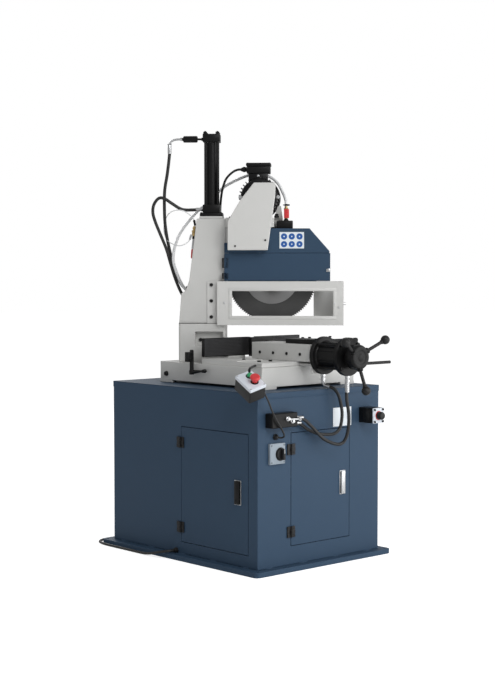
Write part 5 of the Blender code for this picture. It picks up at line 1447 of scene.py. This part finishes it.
def makeTap(look):
    x, y = look["stem"]
    bm = bmesh.new()
    addBox(bm, look["low"], look["high"], 0.0030, 3)
    addTurned(bm, (x, y, look["collarZ"]), (0, 0, 1),
              [(0, 0), (0, 0.0105), (0.004, 0.0098), (0.008, 0.0070), (0.010, 0.0070), (0.010, 0)], 32)
    for i in (-1, 1):
        addCapScrew(bm, (0.1315 + i * 0.024, -0.0548, 1.3242), (0, -1, 0), 0.0032, 0.0018)
    finishPiece(bm, "coolantTap", "head", "black", turned, ("coolant_tap",))
    bm = bmesh.new()
    addTurned(bm, (x, y, look["bodyZ"]), (0, 0, 1),
              [(0, 0), (0, 0.0072), (0.036, 0.0072), (0.036, 0)], 32, 0.0006)
    addNut(bm, (x, y, look["nutZ"]), (0, 0, 1), 0.0090, 0.0080)
    addTurned(bm, (x, y, look["tailZ"]), (0, 0, 1),
              [(0, 0), (0, 0.0060), (0.0085, 0.0060), (0.0085, 0)], 24, 0.0006)
    addRod(bm, (x, y, look["leverZ"]), (x, -0.0418, look["leverZ"]), 0.0040, 20)
    finishPiece(bm, "tapBody", "head", "brass", turned)
    bm = bmesh.new()
    addTurned(bm, (x, y, look["clampZ"]), (0, 0, 1),
              [(0, 0.0046), (0, 0.0066), (0.0075, 0.0066), (0.0075, 0.0046)], 32, 0.0004)
    addBox(bm, (x + 0.005, y - 0.003, 1.4005), (x + 0.0145, y + 0.003, 1.4070), 0.0008)
    addRod(bm, (x - 0.0125, y, 1.4038), (x - 0.004, y, 1.4038), 0.0022, 16)
    finishPiece(bm, "hoseClamp", "head", "oxide", turned)


def makeTapBracket(look):
    bm = bmesh.new()
    side = bm.faces.new([bm.verts.new(spot) for spot in look["bracket"]])
    made = bmesh.ops.extrude_face_region(bm, geom=[side])
    lifted = [item for item in made["geom"] if isinstance(item, bmesh.types.BMVert)]
    bmesh.ops.translate(bm, vec=(0, look["bracketThick"], 0), verts=lifted)
    finishPiece(bm, "tapBracket", "head", "sheetGrey", turned)
    x, y = look["foot"]
    bm = bmesh.new()
    addBox(bm, (0.0885, -0.052, 1.3512), (0.1085, -0.034, 1.3600), 0.0015)
    addNut(bm, (x, y, 1.3596), (0, 0, 1), 0.0075, 0.0080)
    finishPiece(bm, "motorFootBolt", "head", "black", turned)


def makeTapLever(look):
    bm = bmesh.new()
    addBox(bm, (0.1282, -0.0464, 1.3502), (0.1490, -0.0424, 1.3868), 0.0012, 3)
    for i in range(look["ribs"]):
        addBox(bm, (0.1310, -0.0472, 1.3740 + i * 0.0038), (0.1462, -0.0460, 1.3758 + i * 0.0038), 0.0004)
    addTurned(bm, (look["stem"][0], -0.0450, look["leverZ"]), (0, -1, 0),
              [(0, 0), (0, 0.0066), (0.0030, 0.0060), (0.0030, 0)], 24, 0.0005)
    finishPiece(bm, "tapLever", "coolant_lever", "red", turned, ("coolant_tap_lever",))


makeHead(headLook)
makeGuardDetails(headLook)
makeMotor(motorLook)
makeMotorFittings(motorLook)
makeBlade(bladeTeeth)
makeBladeHub()
makeTap(tapLook)
makeTapBracket(tapLook)
makeTapLever(tapLook)
print("head made")

# push-button box

boxLook = {"lid": (-0.400, -0.481, 0.738), "across": (0.9425, -0.1707, 0.2873),
           "along": (0.0020, 0.8626, 0.5059), "half": (0.036, 0.049), "deep": 0.065, "lidDeep": 0.0125,
           "start": {"spot": (0.010, 0.020), "hole": 0.0121, "collar": 0.0148, "bore": 0.0119},
           "stop": {"spot": (0.006, -0.016), "hole": 0.0113, "collar": 0.0150, "bore": 0.0111},
           "gland": (-0.018, -0.056), "cable": 0.0035,
           "strap": [(-0.212, -0.300, 0.7735), (-0.250, -0.330, 0.7735), (-0.330, -0.405, 0.776),
                     (-0.372, -0.443, 0.772), (-0.381, -0.453, 0.745)]}


def boxPlace(look):
    across = Vector(look["across"]).normalized()
    normal = across.cross(Vector(look["along"])).normalized()
    turn = Matrix((across, normal.cross(across), normal)).transposed().to_4x4()
    return Matrix.Translation(look["lid"]) @ turn


def addPierced(bm, low, high, holes, soft):
    # a flat plate with round holes through it, its upper edges rounded
    corners = [(low[0], low[1]), (high[0], low[1]), (high[0], high[1]), (low[0], high[1])]
    rings = [[bm.verts.new((x, y, low[2])) for x, y in corners]]
    angles = [math.pi * k / 20 for k in range(40)]
    for (cx, cy), radius in holes:
        rings.append([bm.verts.new((cx + radius * math.cos(angle), cy + radius * math.sin(angle), low[2]))
                      for angle in angles])
    edges = [bm.edges.new((ring[k], ring[(k + 1) % len(ring)])) for ring in rings for k in range(len(ring))]
    filled = bmesh.ops.triangle_fill(bm, use_beauty=True, use_dissolve=False, edges=edges)["geom"]
    faces = [item for item in filled if isinstance(item, bmesh.types.BMFace)]
    grown = bmesh.ops.extrude_face_region(bm, geom=faces, use_keep_orig=True)["geom"]
    top = [item for item in grown if isinstance(item, bmesh.types.BMVert)]
    bmesh.ops.translate(bm, vec=(0, 0, high[2] - low[2]), verts=top)
    middle = (low[2] + high[2]) / 2
    rim = [edge for edge in bm.edges if any(vert.co.z > middle for vert in edge.verts)
           and any(all(abs(vert.co[axis] - side) < 1e-6 for vert in edge.verts)
                   for axis in (0, 1) for side in (low[axis], high[axis]))]
    bmesh.ops.recalc_face_normals(bm, faces=bm.faces)
    bmesh.ops.bevel(bm, geom=rim, offset=soft, offset_type="OFFSET", segments=4, profile=0.5,
                    affect="EDGES", material=-1)


def makeButtonBox(look):
    place = boxPlace(look)
    wide, long = look["half"]
    deep, lidDeep, buttons = look["deep"], look["lidDeep"], (look["start"], look["stop"])
    bm = bmesh.new()
    addBox(bm, (-wide + 0.001, -long + 0.001, -deep),
           (wide - 0.001, long - 0.001, -lidDeep + 0.0006), 0.0040, 4)
    finishPiece(bm, "buttonBoxBody", "base", "blackPlastic", place, ("control_box",))
    bm = bmesh.new()
    holes = [(button["spot"], button["hole"]) for button in buttons]
    addPierced(bm, (-wide, -long, -lidDeep), (wide, long, 0.0), holes, 0.0026)
    finishPiece(bm, "buttonBoxLid", "base", "lid", place)
    bm = bmesh.new()
    for i in (-1, 1):
        for k in (-1, 1):
            addCapScrew(bm, (i * (wide - 0.006), k * (long - 0.006), -0.0006), (0, 0, 1), 0.0030, 0.0014)
    finishPiece(bm, "lidScrews", "base", "zinc", place)
    bm = bmesh.new()
    for button in buttons:
        (x, y), radius, bore = button["spot"], button["collar"], button["bore"]
        addTurned(bm, (x, y, 0.0001), (0, 0, 1),
                  [(0, bore), (0, radius), (0.0016, radius - 0.0002), (0.0028, radius - 0.0022),
                   (0.0028, bore), (0, bore)], 40)
    finishPiece(bm, "buttonCollars", "base", "blackPlastic", place)


def makeButtons(look):
    place = boxPlace(look)
    x, y = look["start"]["spot"]
    bm = bmesh.new()
    addTurned(bm, (x, y, 0.0028), (0, 0, 1),
              [(0, 0), (0, 0.0113), (0.0050, 0.0113), (0.0062, 0.0100), (0.0062, 0)], 40, 0.0005)
    finishPiece(bm, "startButton", "start_button", "green", place, ("start_button",))
    x, y = look["stop"]["spot"]
    bm = bmesh.new()
    addTurned(bm, (x, y, 0.0028), (0, 0, 1),
              [(0, 0), (0, 0.0104), (0.0142, 0.0104), (0.0146, 0.0180), (0.0165, 0.0190), (0.0215, 0.0186),
               (0.0250, 0.0165), (0.0262, 0.0120), (0.0262, 0)], 48, 0.0006)
    finishPiece(bm, "stopButton", "stop_button", "red", place, ("stop_button",))


def makeBoxCable(look):
    place = boxPlace(look)
    wide, (y, z) = look["half"][0], look["gland"]
    makeTube("boxStrap", smoothRoute(look["strap"], 0.008), 0.0050, "base", "black", fine=5)
    start = [place @ Vector((wide + x, y, z)) for x in (0.0004, 0.010)]
    makeTube("controlCable", smoothRoute(start + routes["control"], 0.005), look["cable"], "base", "rubber",
             replaces=("control_cable",))
    bm = bmesh.new()
    addNut(bm, (wide - 0.0012, y, z), (1, 0, 0), 0.0085, 0.0055)
    addTurned(bm, (wide + 0.004, y, z), (1, 0, 0),
              [(0, 0), (0, 0.0066), (0.006, 0.0060), (0.012, 0.0046), (0.012, 0)], 24, 0.0005)
    finishPiece(bm, "boxGland", "base", "blackPlastic", place)


makeButtonBox(boxLook)
makeButtons(boxLook)
makeBoxCable(boxLook)
print("button box made")

# what is inside the cabinet keeps its CAD shape

for node, finish in (("hydraulic_tank", "black"), ("hydraulic_motor", "black"), ("coolant_tank", "lid"),
                     ("electrical_panel", "lid")):
    refinish(node, finish)

# floor, world and lamps

lightLook = {
    "world": 0.46, "floor": (0.90, 0.90, 0.90), "floorGlow": 0.62,
    "lamps": {
        "key": {"place": (-1.3, -4.2, 3.4), "aim": (0.0, -0.1, 0.8), "size": 2.2, "power": 90.0},
        "low": {"place": (0.2, -3.8, 0.5), "aim": (0.1, 0.0, 0.25), "size": 1.4, "power": 22.0},
        "sheen": {"place": (3.3, -3.7, 1.5), "aim": (0.0, 0.0, 0.8), "size": 3.6, "power": 95.0},
        "back": {"place": (1.5, 4.8, 3.4), "aim": (0.0, 0.1, 0.9), "size": 2.4, "power": 90.0},
    },
}


def backdropWorld(look):
    # white where the camera or a view through something clear meets it
    world = bpy.data.worlds.new("studio")
    bpy.context.scene.world = world
    world.use_nodes = True
    tree = world.node_tree
    shade = tree.nodes["Background"]
    shade.inputs["Color"].default_value = (1, 1, 1, 1)
    rays = addNode(tree, "ShaderNodeLightPath")
    most = addNode(tree, "ShaderNodeMath", operation="MAXIMUM")
    tree.links.new(rays.outputs["Is Camera Ray"], most.inputs[0])
    tree.links.new(rays.outputs["Is Transmission Ray"], most.inputs[1])
    span = addNode(tree, "ShaderNodeMapRange")
    span.inputs["To Min"].default_value = look["world"]
    span.inputs["To Max"].default_value = 1.0
    tree.links.new(most.outputs["Value"], span.inputs["Value"])
    tree.links.new(span.outputs["Result"], shade.inputs["Strength"])


def makeFloor(look):
    bm = bmesh.new()
    bmesh.ops.create_grid(bm, x_segments=1, y_segments=1, size=30)
    mesh = bpy.data.meshes.new("floor")
    bm.to_mesh(mesh)
    bm.free()
    floor = bpy.data.objects.new("floor", mesh)
    floor.location.z = -0.0002
    bpy.context.scene.collection.objects.link(floor)
    material = bpy.data.materials.new("paleFloor")
    material.use_nodes = True
    tree = material.node_tree
    shader = tree.nodes["Principled BSDF"]
    shader.inputs["Base Color"].default_value = (*look["floor"], 1)
    shader.inputs["Roughness"].default_value = 0.9
    shader.inputs["Emission Color"].default_value = (1, 1, 1, 1)
    rays = addNode(tree, "ShaderNodeLightPath")
    glow = addNode(tree, "ShaderNodeMath", operation="MULTIPLY")
    glow.inputs[1].default_value = look["floorGlow"]
    tree.links.new(rays.outputs["Is Camera Ray"], glow.inputs[0])
    tree.links.new(glow.outputs["Value"], shader.inputs["Emission Strength"])
    mesh.materials.append(material)


def makeLamps(look):
    for name, lamp in look["lamps"].items():
        data = bpy.data.lights.new(name, "AREA")
        data.energy = lamp["power"]
        data.size = lamp["size"]
        light = bpy.data.objects.new(name, data)
        light.location = lamp["place"]
        way = Vector(lamp["aim"]) - Vector(lamp["place"])
        light.rotation_euler = way.to_track_quat("-Z", "Y").to_euler()
        bpy.context.scene.collection.objects.link(light)


backdropWorld(lightLook)
makeFloor(lightLook)
makeLamps(lightLook)
bpy.context.scene.view_settings.view_transform = "Standard"
print("stage made")
